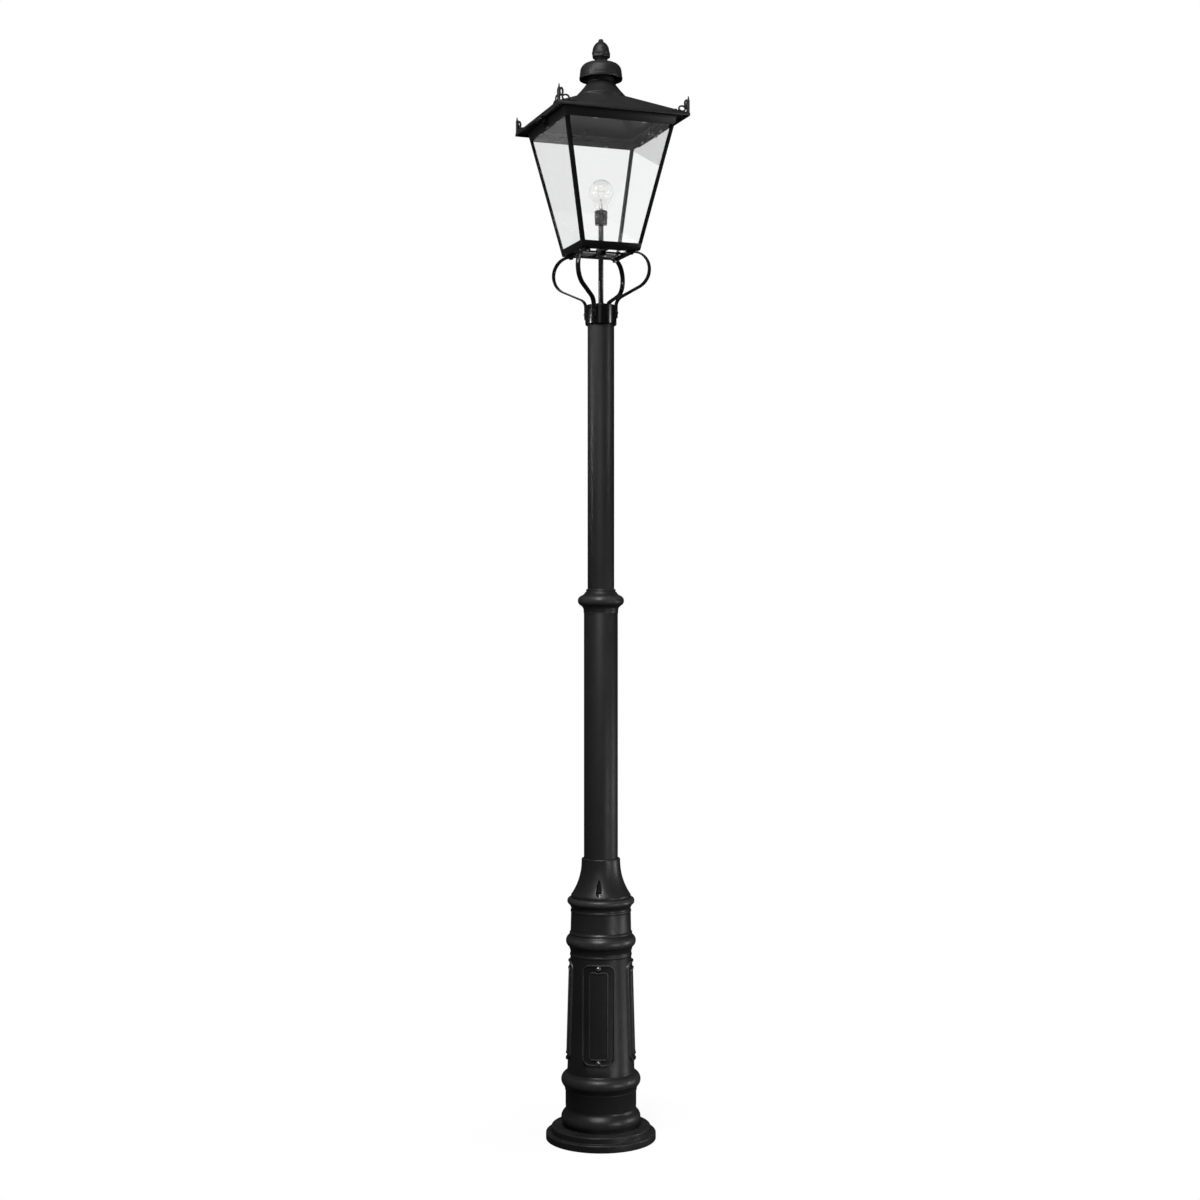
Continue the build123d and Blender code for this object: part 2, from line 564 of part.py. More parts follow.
def make_cowl():
    """Domed rain cowl over the throat."""
    outer = turned([(0, 2601), (53, 2601), (53.2, 2606), (52, 2608, 0.4), (51.2, 2619, 0.4),
                    (26, 2640.5, 8.2), (13, 2643.5, 0.4), (0, 2643.5)])
    inner = turned([(0, 2601), (51.2, 2601), (50, 2608), (49.3, 2618, 0.4), (25, 2638.6, 7.6), (0, 2641.5)])
    return outer - inner


def make_cowl_spacers():
    """Three struts from the throat's neck to the cowl's wall."""
    strut = block((33.1, 50.6), (-3, 3), (2603, 2607))
    cowl_bore = turned([(0, 2601), (51.2, 2601), (50, 2608), (0, 2608)])
    return around(strut & cowl_bore, 3, LANTERN_TURN + 15)


def make_finial():
    """Acorn finial."""
    return turned([(0, 2643.6), (12.5, 2643.6), (13.5, 2646.5, 0.4), (22.2, 2655.5, -1.2), (22.6, 2661, 0.5),
                   (20.9, 2663), (20.6, 2671, 0.4), (8.4, 2693.5, 3.4), (6.0, 2695.5, -0.3),
                   (3.0, 2701, 1.6), (1.5, 2702), (0, 2702)])


def make_ornament():
    """Openwork cresting on the roof's +X +Y corner: a spike and two pierced wings along the eaves."""
    tall = Pos(5.5, 22) * (Ellipse(5.8, 10.5) - Ellipse(1.9, 6.6))
    large = Pos(16.5, 9.2) * (Ellipse(10.2, 8.4) - Ellipse(6.3, 4.5))
    link = Pos(28, 3.4) * Rot(0, 0, -20) * Rectangle(7, 2.4)
    bead = Pos(32.6, 4.8) * Circle(3.0)
    tail = Pos(37.2, 2.2) * Rot(0, 0, -28) * Rectangle(8.5, 2.4)
    wing = Rot(90, 0, 0) * extrude(tall + large + link + bead + tail, 1.6, both=True)
    wing = wing & block((-1, 42), (-5, 5), (0, 50))
    spike = turned([(0, 0), (3.6, 0), (3.0, 6), (2.6, 12), (2.8, 30), (1.9, 33, 0.3), (1.2, 40),
                    (0.6, 41), (0, 41)])
    ornament = wing + Rot(0, 0, 90) * wing + spike
    corner = EAVE_HALF - 3.7
    return Pos(corner, corner, EAVE_TOP) * Rot(0, 0, 180) * ornament - pyramid(EAVE_HALF, EAVE_TOP)


def hinge_barrel(low, high, bore):
    """Stretch of the hinge's barrel along Y."""
    barrel = Rot(-90, 0, 0) * rod(KNUCKLE_R, low, high) - Rot(-90, 0, 0) * rod(bore, low, high)
    return Pos(HINGE_X, 0, HINGE_Z) * barrel


def make_hinge_leaf_lower():
    """Leaf on the upper band's outer face, with the two outer knuckles."""
    low, high = BAND_HIGH_LOW + 1, HINGE_Z
    span = block((-200, -100), (-HINGE_HALF, HINGE_HALF), (low, high))
    leaf = (tapered(low, high, -SHEET) - tapered(low, high)) & span
    web = block((HINGE_X, HINGE_X + 3.2), (-HINGE_HALF, HINGE_HALF), (HINGE_Z - 3, HINGE_Z))
    leaf = leaf + (web - tapered(low, high + 5))
    leaf -= Pos(HINGE_X, 0, HINGE_Z) * Rot(-90, 0, 0) * rod(KNUCKLE_R, -20, 20)
    middle = HINGE_MIDDLE_HALF + 0.3
    leaf -= block((HINGE_X - 5, HINGE_X + 4), (-middle, middle), (HINGE_Z - 5, HINGE_Z + 1))
    leaf += hinge_barrel(-HINGE_HALF, -middle, HINGE_PIN_R)
    leaf += hinge_barrel(middle, HINGE_HALF, HINGE_PIN_R)
    return on_lantern(leaf)


def make_hinge_leaf_upper():
    """Leaf under the soffit, with the middle knuckle."""
    plate = block((HINGE_X - 15, HINGE_X - KNUCKLE_R - 1), (-HINGE_HALF, HINGE_HALF),
                  (SOFFIT_LOW - 2, SOFFIT_LOW))
    middle = HINGE_MIDDLE_HALF
    tongue = block((HINGE_X - 5, HINGE_X), (-middle, middle), (SOFFIT_LOW - 2.6, SOFFIT_LOW - 1.2))
    leaf = plate + tongue - Pos(HINGE_X, 0, HINGE_Z) * Rot(-90, 0, 0) * rod(KNUCKLE_R, -20, 20)
    return on_lantern(leaf + hinge_barrel(-middle, middle, HINGE_PIN_R + FIT))


def make_hinge_pin():
    """Pin through the three knuckles."""
    pin = Rot(-90, 0, 0) * rod(HINGE_PIN_R, -HINGE_HALF - 1, HINGE_HALF + 1)
    return on_lantern(Pos(HINGE_X, 0, HINGE_Z) * pin)


def make_catch_screw():
    """Knurled thumbscrew opposite the hinge; its shank stands in the tongue's slot."""
    face = frame_half(CATCH_Z + CATCH_KNOB_R) + 0.5
    knob = radial_rod(CATCH_KNOB_R, face, face + 7, CATCH_Z, 0)
    flute = Pos(0, CATCH_KNOB_R, 0) * rod(0.9, -1, 8)
    for notch in around(flute, 16):
        knob -= Pos(face, 0, CATCH_Z) * Rot(0, 90, 0) * notch
    return on_lantern(knob + radial_rod(CATCH_R, 124, face + 1, CATCH_Z, 0))


# ---- lamp -------------------------------------------------------------------------------------------------

def make_holder():
    """Lampholder: a plain cup with its screw bore."""
    cup = turned([(0, HOLDER_LOW), (14.8, HOLDER_LOW), (HOLDER_R, HOLDER_LOW + 1.5),
                  (HOLDER_R, HOLDER_TOP - 1), (HOLDER_R - 1, HOLDER_TOP), (0, HOLDER_TOP)])
    return cup - rod(CAP_R + 0.4, HOLDER_LOW + 5, HOLDER_TOP) - rod(STEM_R + 0.1, HOLDER_LOW, HOLDER_LOW + 5)


def make_yoke():
    """Half-round strap under the lampholder, threaded on the stem."""
    strap = Circle(14) - Circle(11.2)
    strap = Rot(90, 0, 0) * extrude(strap, 8, both=True)
    strap = Pos(0, 0, HOLDER_LOW) * (strap & block((-20, 20), (-10, 10), (-20, 0)))
    return strap - rod(STEM_R + 0.1, 2220, HOLDER_LOW)


def bulb_outline(wall):
    """Outline of the bulb's glass, set in by wall."""
    r = BULB_R - wall
    return [(0, CAP_TOP + 0.2), (13.0 - wall, CAP_TOP + 0.2), (15.6 - wall, 2288), (26.6 - wall, 2312, -1.6),
            (r, BULB_CENTRE_Z, 1.2), (r * sin(radians(45)), BULB_CENTRE_Z + r * cos(radians(45)), r * 0.0761),
            (1.0, BULB_CENTRE_Z + r, r * 0.0735), (0, BULB_CENTRE_Z + r)]


def make_bulb_glass():
    """Clear pear-shaped envelope."""
    return turned(bulb_outline(0)) - turned(bulb_outline(BULB_WALL))


def make_bulb_cap():
    """Screw cap with its insulating foot."""
    return turned([(0, CAP_LOW), (4.5, CAP_LOW), (9, CAP_LOW + 4), (12.6, CAP_LOW + 5), (CAP_R, CAP_LOW + 7),
                   (CAP_R, CAP_TOP - 2), (12.6, CAP_TOP), (0, CAP_TOP)])


def make_bulb_mount():
    """Glass stem and filament supports inside the envelope."""
    stem = turned([(0, CAP_TOP + 0.3), (7, CAP_TOP + 0.3), (3.5, 2292, -0.8), (2.2, 2306), (0, 2308)])
    wire = rod(0.6, 2300, 2330)
    arms = Pos(0, 0, 2330) * Rot(0, 90, 0) * rod(0.5, -11, 11)
    return stem + wire + arms


# ---- write the parts --------------------------------------------------------------------------------------

pedestal_body = make_pedestal()

save("base_plate", make_base_plate())
save("pedestal", pedestal_body)
save("pedestal_bolts", *make_foot_bolts())
save("access_door", make_access_door())
save("door_seal", make_door_seal())
save("door_screw_lower", make_door_screw(DOOR_SCREW_Z[0]))
save("door_screw_upper", make_door_screw(DOOR_SCREW_Z[1]))

save("backboard", make_backboard())
save("board_spacers", *make_board_spacers(pedestal_body))
save("terminal_box", make_terminal_box())
save("terminal_box_lid", make_terminal_lid())
save("fuse_carrier", make_fuse_carrier())
save("cable_glands", *make_glands())
save("earth_stud", make_earth_stud())
save("lamp_cable", make_lamp_cable())

save("neck_casting", make_neck())
save("neck_gasket", make_neck_gasket())
save("neck_bolts", *make_neck_bolts())
save("lower_tube", ring(LOWER_TUBE_R, LOWER_TUBE_R - LOWER_TUBE_WALL, TUBE_SEAT, LOWER_TUBE_TOP))
save("joint_packers", *make_packers())
save("column_collar", make_collar())
save("upper_tube", ring(UPPER_TUBE_R, UPPER_TUBE_R - UPPER_TUBE_WALL, UPPER_TUBE_LOW, UPPER_TUBE_TOP))
save("tube_grub_screws", *make_grub_screws())

save("frog_clamp", make_clamp())
for place, leg in zip("abcd", around(make_leg(), 4, LANTERN_TURN + 45)):
    save(f"frog_leg_{place}", leg)
save("frog_foot_screws", *make_leg_foot_screws())
save("frog_top_bolts", *make_leg_top_bolts())
save("stem_tube", ring(STEM_R, STEM_R - STEM_WALL, STEM_LOW, STEM_TOP))
save("stem_lock_nuts", *make_stem_nuts())

save("lantern_bottom_frame", make_bottom_frame())
save("corner_bars", make_corner_bars())
save("lantern_top_frame", make_top_frame())
save("floor_spider", make_spider())
for side, pane in zip(("front", "right", "back", "left"), around(make_glass(), 4, LANTERN_TURN)):
    save(f"glass_{side}", pane)
save("glazing_clips", *make_glazing_clips())

save("roof_shell", on_lantern(make_roof_shell()))
save("roof_soffit", on_lantern(make_soffit()))
save("roof_skirt", on_lantern(make_skirt()))
save("cowl", make_cowl())
save("cowl_spacers", *make_cowl_spacers())
save("finial", make_finial())
for place, crest in zip("abcd", around(make_ornament(), 4, LANTERN_TURN)):
    save(f"corner_ornament_{place}", crest)
save("hinge_leaf_lower", make_hinge_leaf_lower())
save("hinge_leaf_upper", make_hinge_leaf_upper())
save("hinge_pin", make_hinge_pin())
save("catch_screw", make_catch_screw())

save("lampholder_body", make_holder())
save("lampholder_yoke", make_yoke())
save("bulb_glass", make_bulb_glass())
save("bulb_cap", make_bulb_cap())
save("bulb_mount", make_bulb_mount())
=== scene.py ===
"""Street lamp post: the looks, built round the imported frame.

Sizes are millimetres and heights are above the ground; the bench turns them into metres. The lantern's
pieces are modelled square to the axes and then turned to the lantern's bearing.
"""

import json
import logging
from dataclasses import dataclass
from enum import Enum
from math import atan, atan2, cos, degrees, hypot, pi, radians, sin, sqrt, tan
from typing import Callable, Optional, Sequence

import bmesh
import bpy
from mathutils import Matrix, Vector


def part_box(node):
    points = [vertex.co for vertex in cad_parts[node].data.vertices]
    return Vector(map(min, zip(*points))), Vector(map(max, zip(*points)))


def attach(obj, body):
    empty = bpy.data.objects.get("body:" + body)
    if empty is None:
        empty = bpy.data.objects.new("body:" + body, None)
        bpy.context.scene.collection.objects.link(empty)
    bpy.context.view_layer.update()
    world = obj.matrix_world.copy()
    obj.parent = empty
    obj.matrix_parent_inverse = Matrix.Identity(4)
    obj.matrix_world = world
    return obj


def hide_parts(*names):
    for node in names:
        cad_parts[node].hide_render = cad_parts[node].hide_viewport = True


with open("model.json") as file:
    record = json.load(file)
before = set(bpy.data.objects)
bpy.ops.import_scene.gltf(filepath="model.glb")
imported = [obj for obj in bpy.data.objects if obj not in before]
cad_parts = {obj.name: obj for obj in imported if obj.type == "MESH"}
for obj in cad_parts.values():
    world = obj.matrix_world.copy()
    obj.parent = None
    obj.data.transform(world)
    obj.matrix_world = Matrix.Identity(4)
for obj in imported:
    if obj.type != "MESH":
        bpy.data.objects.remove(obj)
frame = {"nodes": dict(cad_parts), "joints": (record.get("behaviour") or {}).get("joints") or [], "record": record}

MM = 0.001
log = logging.getLogger("street_lamp")

Station = tuple[float, ...]
Point = tuple[float, float, float]
Piece = bpy.types.Object


class Body(Enum):
    """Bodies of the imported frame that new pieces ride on."""

    POST = "post"
    DOOR = "door"
    ROOF = "roof"
    BULB = "bulb"


class Slot(Enum):
    """Material slots of the record."""

    CAST = "cast_black"
    TUBE = "tube_black"
    GLOSS = "gloss_black"
    SECURITY_STEEL = "security_steel"
    ZINC = "zinc_steel"
    BRASS = "brass"
    BULB_METAL = "bulb_metal"
    RUBBER = "seal_rubber"
    CABLE = "cable_sheath"
    BOARD = "board"
    BOX = "box_plastic"
    HOLDER = "holder_black"
    PANE = "pane_glass"
    BULB_GLASS = "bulb_glass"


class Element(Enum):
    """Kinds of mesh element that the bench selects by place."""

    EDGE = "EDGE"
    FACE = "FACE"


# ---- outlines ------------------------------------------------------------------------------------

def arc_points(start: Vector, end: Vector, bow: float, steps: int) -> list[Vector]:
    """Points inside an arc between two stations.

    Args:
        start: Where the arc begins, as (radius, height).
        end: Where it ends.
        bow: Rise of the arc over its chord, outwards on a run that goes up.
        steps: Number of straight pieces in the arc.

    Returns:
        The points between start and end, both left out.
    """
    chord = end - start
    half = chord.length / 2
    along = chord.normalized()
    outward = Vector((along.y, -along.x))
    spread = 2 * atan(bow / half)
    radius = half / sin(spread)
    centre = (start + end) / 2 + outward * (bow - radius)
    turns = [spread * (2 * i / steps - 1) for i in range(1, steps)]
    return [centre + outward * radius * cos(t) + along * radius * sin(t) for t in turns]


def eased(points: list[Vector], fillet: float, closed: bool) -> list[Vector]:
    """Round the sharp corners of an outline.

    Args:
        points: The outline's corners.
        fillet: How far from a corner its rounding starts.
        closed: Whether the last point joins the first.

    Returns:
        The outline with three points in place of each sharp corner.
    """
    count = len(points)
    soft: list[Vector] = []
    for i, corner in enumerate(points):
        if not closed and i in (0, count - 1):
            soft.append(corner)
            continue
        before, after = points[i - 1] - corner, points[(i + 1) % count] - corner
        if before.length < 1e-6 or after.length < 1e-6 or pi - before.angle(after) < radians(25):
            soft.append(corner)
            continue
        cut = min(fillet, 0.45 * before.length, 0.45 * after.length)
        enter, leave = corner + before.normalized() * cut, corner + after.normalized() * cut
        soft += [enter, (enter + leave) / 4 + corner / 2, leave]
    return soft


def outline(stations: Sequence[Station], fillet: float, closed: bool, arc_steps: int = 7) -> list[Vector]:
    """Expand stations of (radius, height[, bow]) into the points of an outline.

    Args:
        stations: The drawing's points in order; a third number bows the run that ends there.
        fillet: Rounding of sharp corners, 0 for none.
        closed: Whether the last point joins the first.
        arc_steps: Straight pieces in each bowed run.

    Returns:
        The outline's points.
    """
    points = [Vector(stations[0][:2])]
    for start, end in zip(stations, stations[1:]):
        if len(end) == 3:
            points += arc_points(Vector(start[:2]), Vector(end[:2]), end[2], arc_steps)
        points.append(Vector(end[:2]))
    return eased(points, fillet, closed) if fillet else points


def rounded_rectangle(width: float, low: float, high: float, corner: float, steps: int = 8) -> list[Vector]:
    """Outline of an upright rounded rectangle, counter-clockwise from its lower right corner.

    Args:
        width: Its width.
        low: Its lowest height.
        high: Its highest height.
        corner: Radius of its corners.
        steps: Straight pieces in each corner.

    Returns:
        The outline's points.
    """
    centres = [(width / 2 - corner, low + corner), (width / 2 - corner, high - corner),
               (corner - width / 2, high - corner), (corner - width / 2, low + corner)]
    points = []
    for quarter, (x, z) in enumerate(centres):
        for i in range(steps + 1):
            angle = radians(90 * (quarter - 1) + 90 * i / steps)
            points.append(Vector((x + corner * cos(angle), z + corner * sin(angle))))
    return points


# ---- bench ---------------------------------------------------------------------------------------

class Bench:
    """Modelling operators, used as by hand on one new piece at a time."""

    @staticmethod
    def clear() -> None:
        """Select nothing, so that the next operator acts only on a new piece."""
        if bpy.context.object is not None and bpy.context.object.mode != "OBJECT":
            bpy.ops.object.mode_set(mode="OBJECT")
        bpy.ops.object.select_all(action="DESELECT")

    @staticmethod
    def take(piece: Piece) -> None:
        """Make a piece the only selected and the active one.

        Args:
            piece: The piece.
        """
        Bench.clear()
        piece.select_set(True)
        bpy.context.view_layer.objects.active = piece

    @staticmethod
    def start(name: str, point: Point) -> Piece:
        """Start a piece as a single vertex, in edit mode.

        Args:
            name: Name of the new piece.
            point: Where the vertex stands.

        Returns:
            The new piece.
        """
        Bench.clear()
        bpy.ops.mesh.primitive_plane_add(size=MM)
        piece = bpy.context.object
        piece.name = piece.data.name = name
        bpy.ops.object.mode_set(mode="EDIT")
        bpy.ops.mesh.select_mode(type="VERT")
        bpy.ops.mesh.select_all(action="SELECT")
        bpy.ops.mesh.merge(type="CENTER")
        bpy.ops.transform.translate(value=Vector(point) * MM)
        return piece

    @staticmethod
    def draw(name: str, points: Sequence[Point], closed: bool) -> Piece:
        """Draw a chain of edges point by point and leave it selected, in edit mode.

        Args:
            name: Name of the new piece.
            points: The chain's points.
            closed: Whether to join the last point to the first.

        Returns:
            The new piece.
        """
        piece = Bench.start(name, points[0])
        route = list(points) + ([points[0]] if closed else [])
        for start, end in zip(route, route[1:]):
            step = (Vector(end) - Vector(start)) * MM
            bpy.ops.mesh.extrude_vertices_move(TRANSFORM_OT_translate={"value": step})
        bpy.ops.mesh.select_all(action="SELECT")
        bpy.ops.mesh.remove_doubles(threshold=0.001 * MM)
        return piece

    @staticmethod
    def fill() -> None:
        """Fill the drawn outline with a face and go over to selecting faces, in edit mode."""
        bpy.ops.mesh.edge_face_add()
        bpy.ops.mesh.select_mode(type="FACE")

    @staticmethod
    def close_up() -> Piece:
        """Merge doubles, point the faces outwards and leave edit mode.

        Returns:
            The piece that was in edit mode.
        """
        bpy.ops.mesh.select_all(action="SELECT")
        bpy.ops.mesh.remove_doubles(threshold=0.002 * MM)
        bpy.ops.mesh.normals_make_consistent(inside=False)
        bpy.ops.object.mode_set(mode="OBJECT")
        return bpy.context.object

    @staticmethod
    def pick(piece: Piece, kind: Element, test: Callable[[Vector], bool]) -> None:
        """Select, in edit mode, the elements whose middles pass a test.

        Args:
            piece: The piece in edit mode.
            kind: Edges or faces.
            test: Takes an element's middle in millimetres and says whether to select it.
        """
        bpy.ops.mesh.select_mode(type=kind.value)
        bpy.ops.mesh.select_all(action="DESELECT")
        mesh = bmesh.from_edit_mesh(piece.data)
        for element in mesh.edges if kind is Element.EDGE else mesh.faces:
            middle = sum((v.co for v in element.verts), Vector()) / len(element.verts)
            element.select_set(test(middle / MM))
        mesh.select_flush_mode()
        bmesh.update_edit_mesh(piece.data)

    @staticmethod
    def spin(steps: int, angle: float = 2 * pi, centre: Point = (0, 0, 0), axis: Point = (0, 0, 1)) -> None:
        """Sweep the selection round an axis, in edit mode."""
        bpy.ops.mesh.spin(steps=steps, angle=angle, center=Vector(centre) * MM, axis=axis)

    @staticmethod
    def extrude(step: Point) -> None:
        """Extrude the selected faces by a step, in edit mode."""
        bpy.ops.mesh.extrude_region_move(TRANSFORM_OT_translate={"value": Vector(step) * MM})

    @staticmethod
    def turned(name: str, stations: Sequence[Station], fillet: float = 0.5, steps: int = 96,
               closed: bool = True) -> Piece:
        """Turn a piece on the Z axis.

        Args:
            name: Name of the new piece.
            stations: Its outline as (radius, height[, bow]).
            fillet: Rounding of the outline's sharp corners.
            steps: Number of steps round the axis.
            closed: Whether the outline is a closed section; otherwise it runs from axis to axis.

        Returns:
            The new piece, shaded smooth.
        """
        points = outline(stations, fillet, closed)
        Bench.draw(name, [(p.x, 0, p.y) for p in points], closed)
        Bench.spin(steps)
        return Bench.smooth(Bench.close_up())

    @staticmethod
    def mitred(name: str, stations: Sequence[Station], soften: float = 0.5) -> Piece:
        """Make a square frame with mitred corners from its section.

        Args:
            name: Name of the new piece.
            stations: Its section as (half width, height).
            soften: Rounding of its edges.

        Returns:
            The new piece, at the lantern's bearing.
        """
        Bench.draw(name, [(half, half, z) for half, z in stations], True)
        Bench.spin(4)
        piece = Bench.close_up()
        Bench.bevel(piece, soften)
        return Bench.turn(piece, LANTERN_TURN)

    @staticmethod
    def smooth(piece: Piece, angle: float = 32.0) -> Piece:
        """Shade smooth, with edges above an angle in degrees kept sharp.

        Args:
            piece: The piece.
            angle: Edges sharper than this, in degrees, stay sharp.

        Returns:
            The piece.
        """
        Bench.take(piece)
        bpy.ops.object.shade_smooth_by_angle(angle=radians(angle))
        return piece

    @staticmethod
    def bevel(piece: Piece, width: float, segments: int = 2, angle: float = 30.0) -> Piece:
        """Round every edge sharper than an angle, and shade the piece smooth.

        Args:
            piece: The piece.
            width: Width of the rounding.
            segments: Flats in each rounding.
            angle: Edges sharper than this, in degrees, are rounded.

        Returns:
            The piece.
        """
        Bench.take(piece)
        bpy.ops.object.modifier_add(type="BEVEL")
        rounding = piece.modifiers[-1]
        rounding.width = width * MM
        rounding.segments = segments
        rounding.limit_method = "ANGLE"
        rounding.angle_limit = radians(angle)
        bpy.ops.object.modifier_apply(modifier=rounding.name)
        return Bench.smooth(piece, 40.0)

    @staticmethod
    def combine(piece: Piece, other: Piece, operation: str = "DIFFERENCE") -> Piece:
        """Cut, unite or intersect a piece with another, which is used up.

        Args:
            piece: The piece that stays.
            other: The cutter.
            operation: DIFFERENCE, UNION or INTERSECT.

        Returns:
            The piece.
        """
        Bench.take(piece)
        bpy.ops.object.modifier_add(type="BOOLEAN")
        joint = piece.modifiers[-1]
        joint.operation = operation
        joint.object = other
        joint.solver = "EXACT"
        bpy.ops.object.modifier_apply(modifier=joint.name)
        bpy.data.objects.remove(other)
        return piece

    @staticmethod
    def join(pieces: Sequence[Piece], name: str) -> Piece:
        """Join pieces into the first one, under a name.

        Args:
            pieces: The pieces; the first one stays.
            name: Name of the joined piece.

        Returns:
            The joined piece.
        """
        Bench.take(pieces[0])
        for piece in pieces:
            piece.select_set(True)
        bpy.ops.object.join()
        pieces[0].name = pieces[0].data.name = name
        return pieces[0]

    @staticmethod
    def placed(piece: Piece, matrix: Matrix) -> Piece:
        """Move a piece's mesh, with the object left at the origin."""
        piece.data.transform(matrix)
        return piece

    @staticmethod
    def turn(piece: Piece, angle: float) -> Piece:
        """Turn a piece's mesh about Z by an angle in degrees."""
        return Bench.placed(piece, Matrix.Rotation(radians(angle), 4, "Z"))

    @staticmethod
    def copy(piece: Piece, name: str, angle: float = 0.0) -> Piece:
        """Copy a piece with its own mesh, turned about Z by an angle in degrees.

        Args:
            piece: The piece.
            name: Name of the copy.
            angle: How far the copy is turned, in degrees.

        Returns:
            The copy.
        """
        twin = piece.copy()
        twin.data = piece.data.copy()
        twin.name = twin.data.name = name
        bpy.context.scene.collection.objects.link(twin)
        return Bench.turn(twin, angle)

    @staticmethod
    def around(piece: Piece, count: int, name: str, first: float = 0.0) -> Piece:
        """Copy a piece evenly about Z and join the copies.

        Args:
            piece: The piece to repeat; it becomes the first one.
            count: Number of pieces in all.
            name: Name of the joined piece.
            first: Bearing of the first one in degrees.

        Returns:
            The joined piece.
        """
        Bench.turn(piece, first)
        twins = [Bench.copy(piece, f"{name}_{i}", 360.0 * i / count) for i in range(1, count)]
        return Bench.join([piece] + twins, name)

    @staticmethod
    def block(name: str, x: Station, y: Station, z: Station, soften: float = 0.0) -> Piece:
        """Make a box between the pairs x, y and z, with its edges rounded.

        Args:
            name: Name of the new piece.
            x: Its two ends along X.
            y: Its two ends along Y.
            z: Its two ends along Z.
            soften: Rounding of its edges, 0 for none.

        Returns:
            The box.
        """
        Bench.clear()
        size = Vector([high - low for low, high in (x, y, z)]) * MM
        middle = Vector([(low + high) / 2 for low, high in (x, y, z)]) * MM
        bpy.ops.mesh.primitive_cube_add(size=1)
        piece = bpy.context.object
        piece.name = piece.data.name = name
        Bench.placed(piece, Matrix.Translation(middle) @ Matrix.Diagonal((*size, 1)))
        return Bench.bevel(piece, soften) if soften else piece

    @staticmethod
    def rod(name: str, radius: float, low: float, high: float, at: Station = (0.0, 0.0), sides: int = 32,
            soften: float = 0.0) -> Piece:
        """Make an upright rod or prism between two heights.

        Args:
            name: Name of the new piece.
            radius: Its radius.
            low: Its lowest height.
            high: Its highest height.
            at: Where it stands in X and Y.
            sides: Number of its sides.
            soften: Rounding of its edges, 0 for none.

        Returns:
            The rod.
        """
        Bench.clear()
        bpy.ops.mesh.primitive_cylinder_add(vertices=sides, radius=radius * MM, depth=(high - low) * MM)
        piece = bpy.context.object
        piece.name = piece.data.name = name
        Bench.placed(piece, Matrix.Translation(Vector((at[0], at[1], (low + high) / 2)) * MM))
        return Bench.bevel(piece, soften) if soften else Bench.smooth(piece)

    @staticmethod
    def radial(piece: Piece, height: float, bearing: float) -> Piece:
        """Lay an upright piece down at a height, so that its Z points away from the axis on a bearing."""
        lay = Matrix.Translation((0, 0, height * MM)) @ Matrix.Rotation(radians(90), 4, "Y")
        return Bench.turn(Bench.placed(piece, lay), bearing)


def lantern_bearing() -> float:
    """Bearing of the lantern in degrees, from the roof hinge's axis, which is its local -Y."""
    axis = next(joint["axis"] for joint in frame["joints"] if joint["name"] == "roof_hinge")
    return degrees(atan2(axis[0], -axis[1]))


LANTERN_TURN = lantern_bearing()


def low_of(node: str) -> float:
    """Lowest height of a CAD node in millimetres."""
    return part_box(node)[0].z / MM


def top_of(node: str) -> float:
    """Highest height of a CAD node in millimetres."""
    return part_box(node)[1].z / MM


# ---- finishes ------------------------------------------------------------------------------------

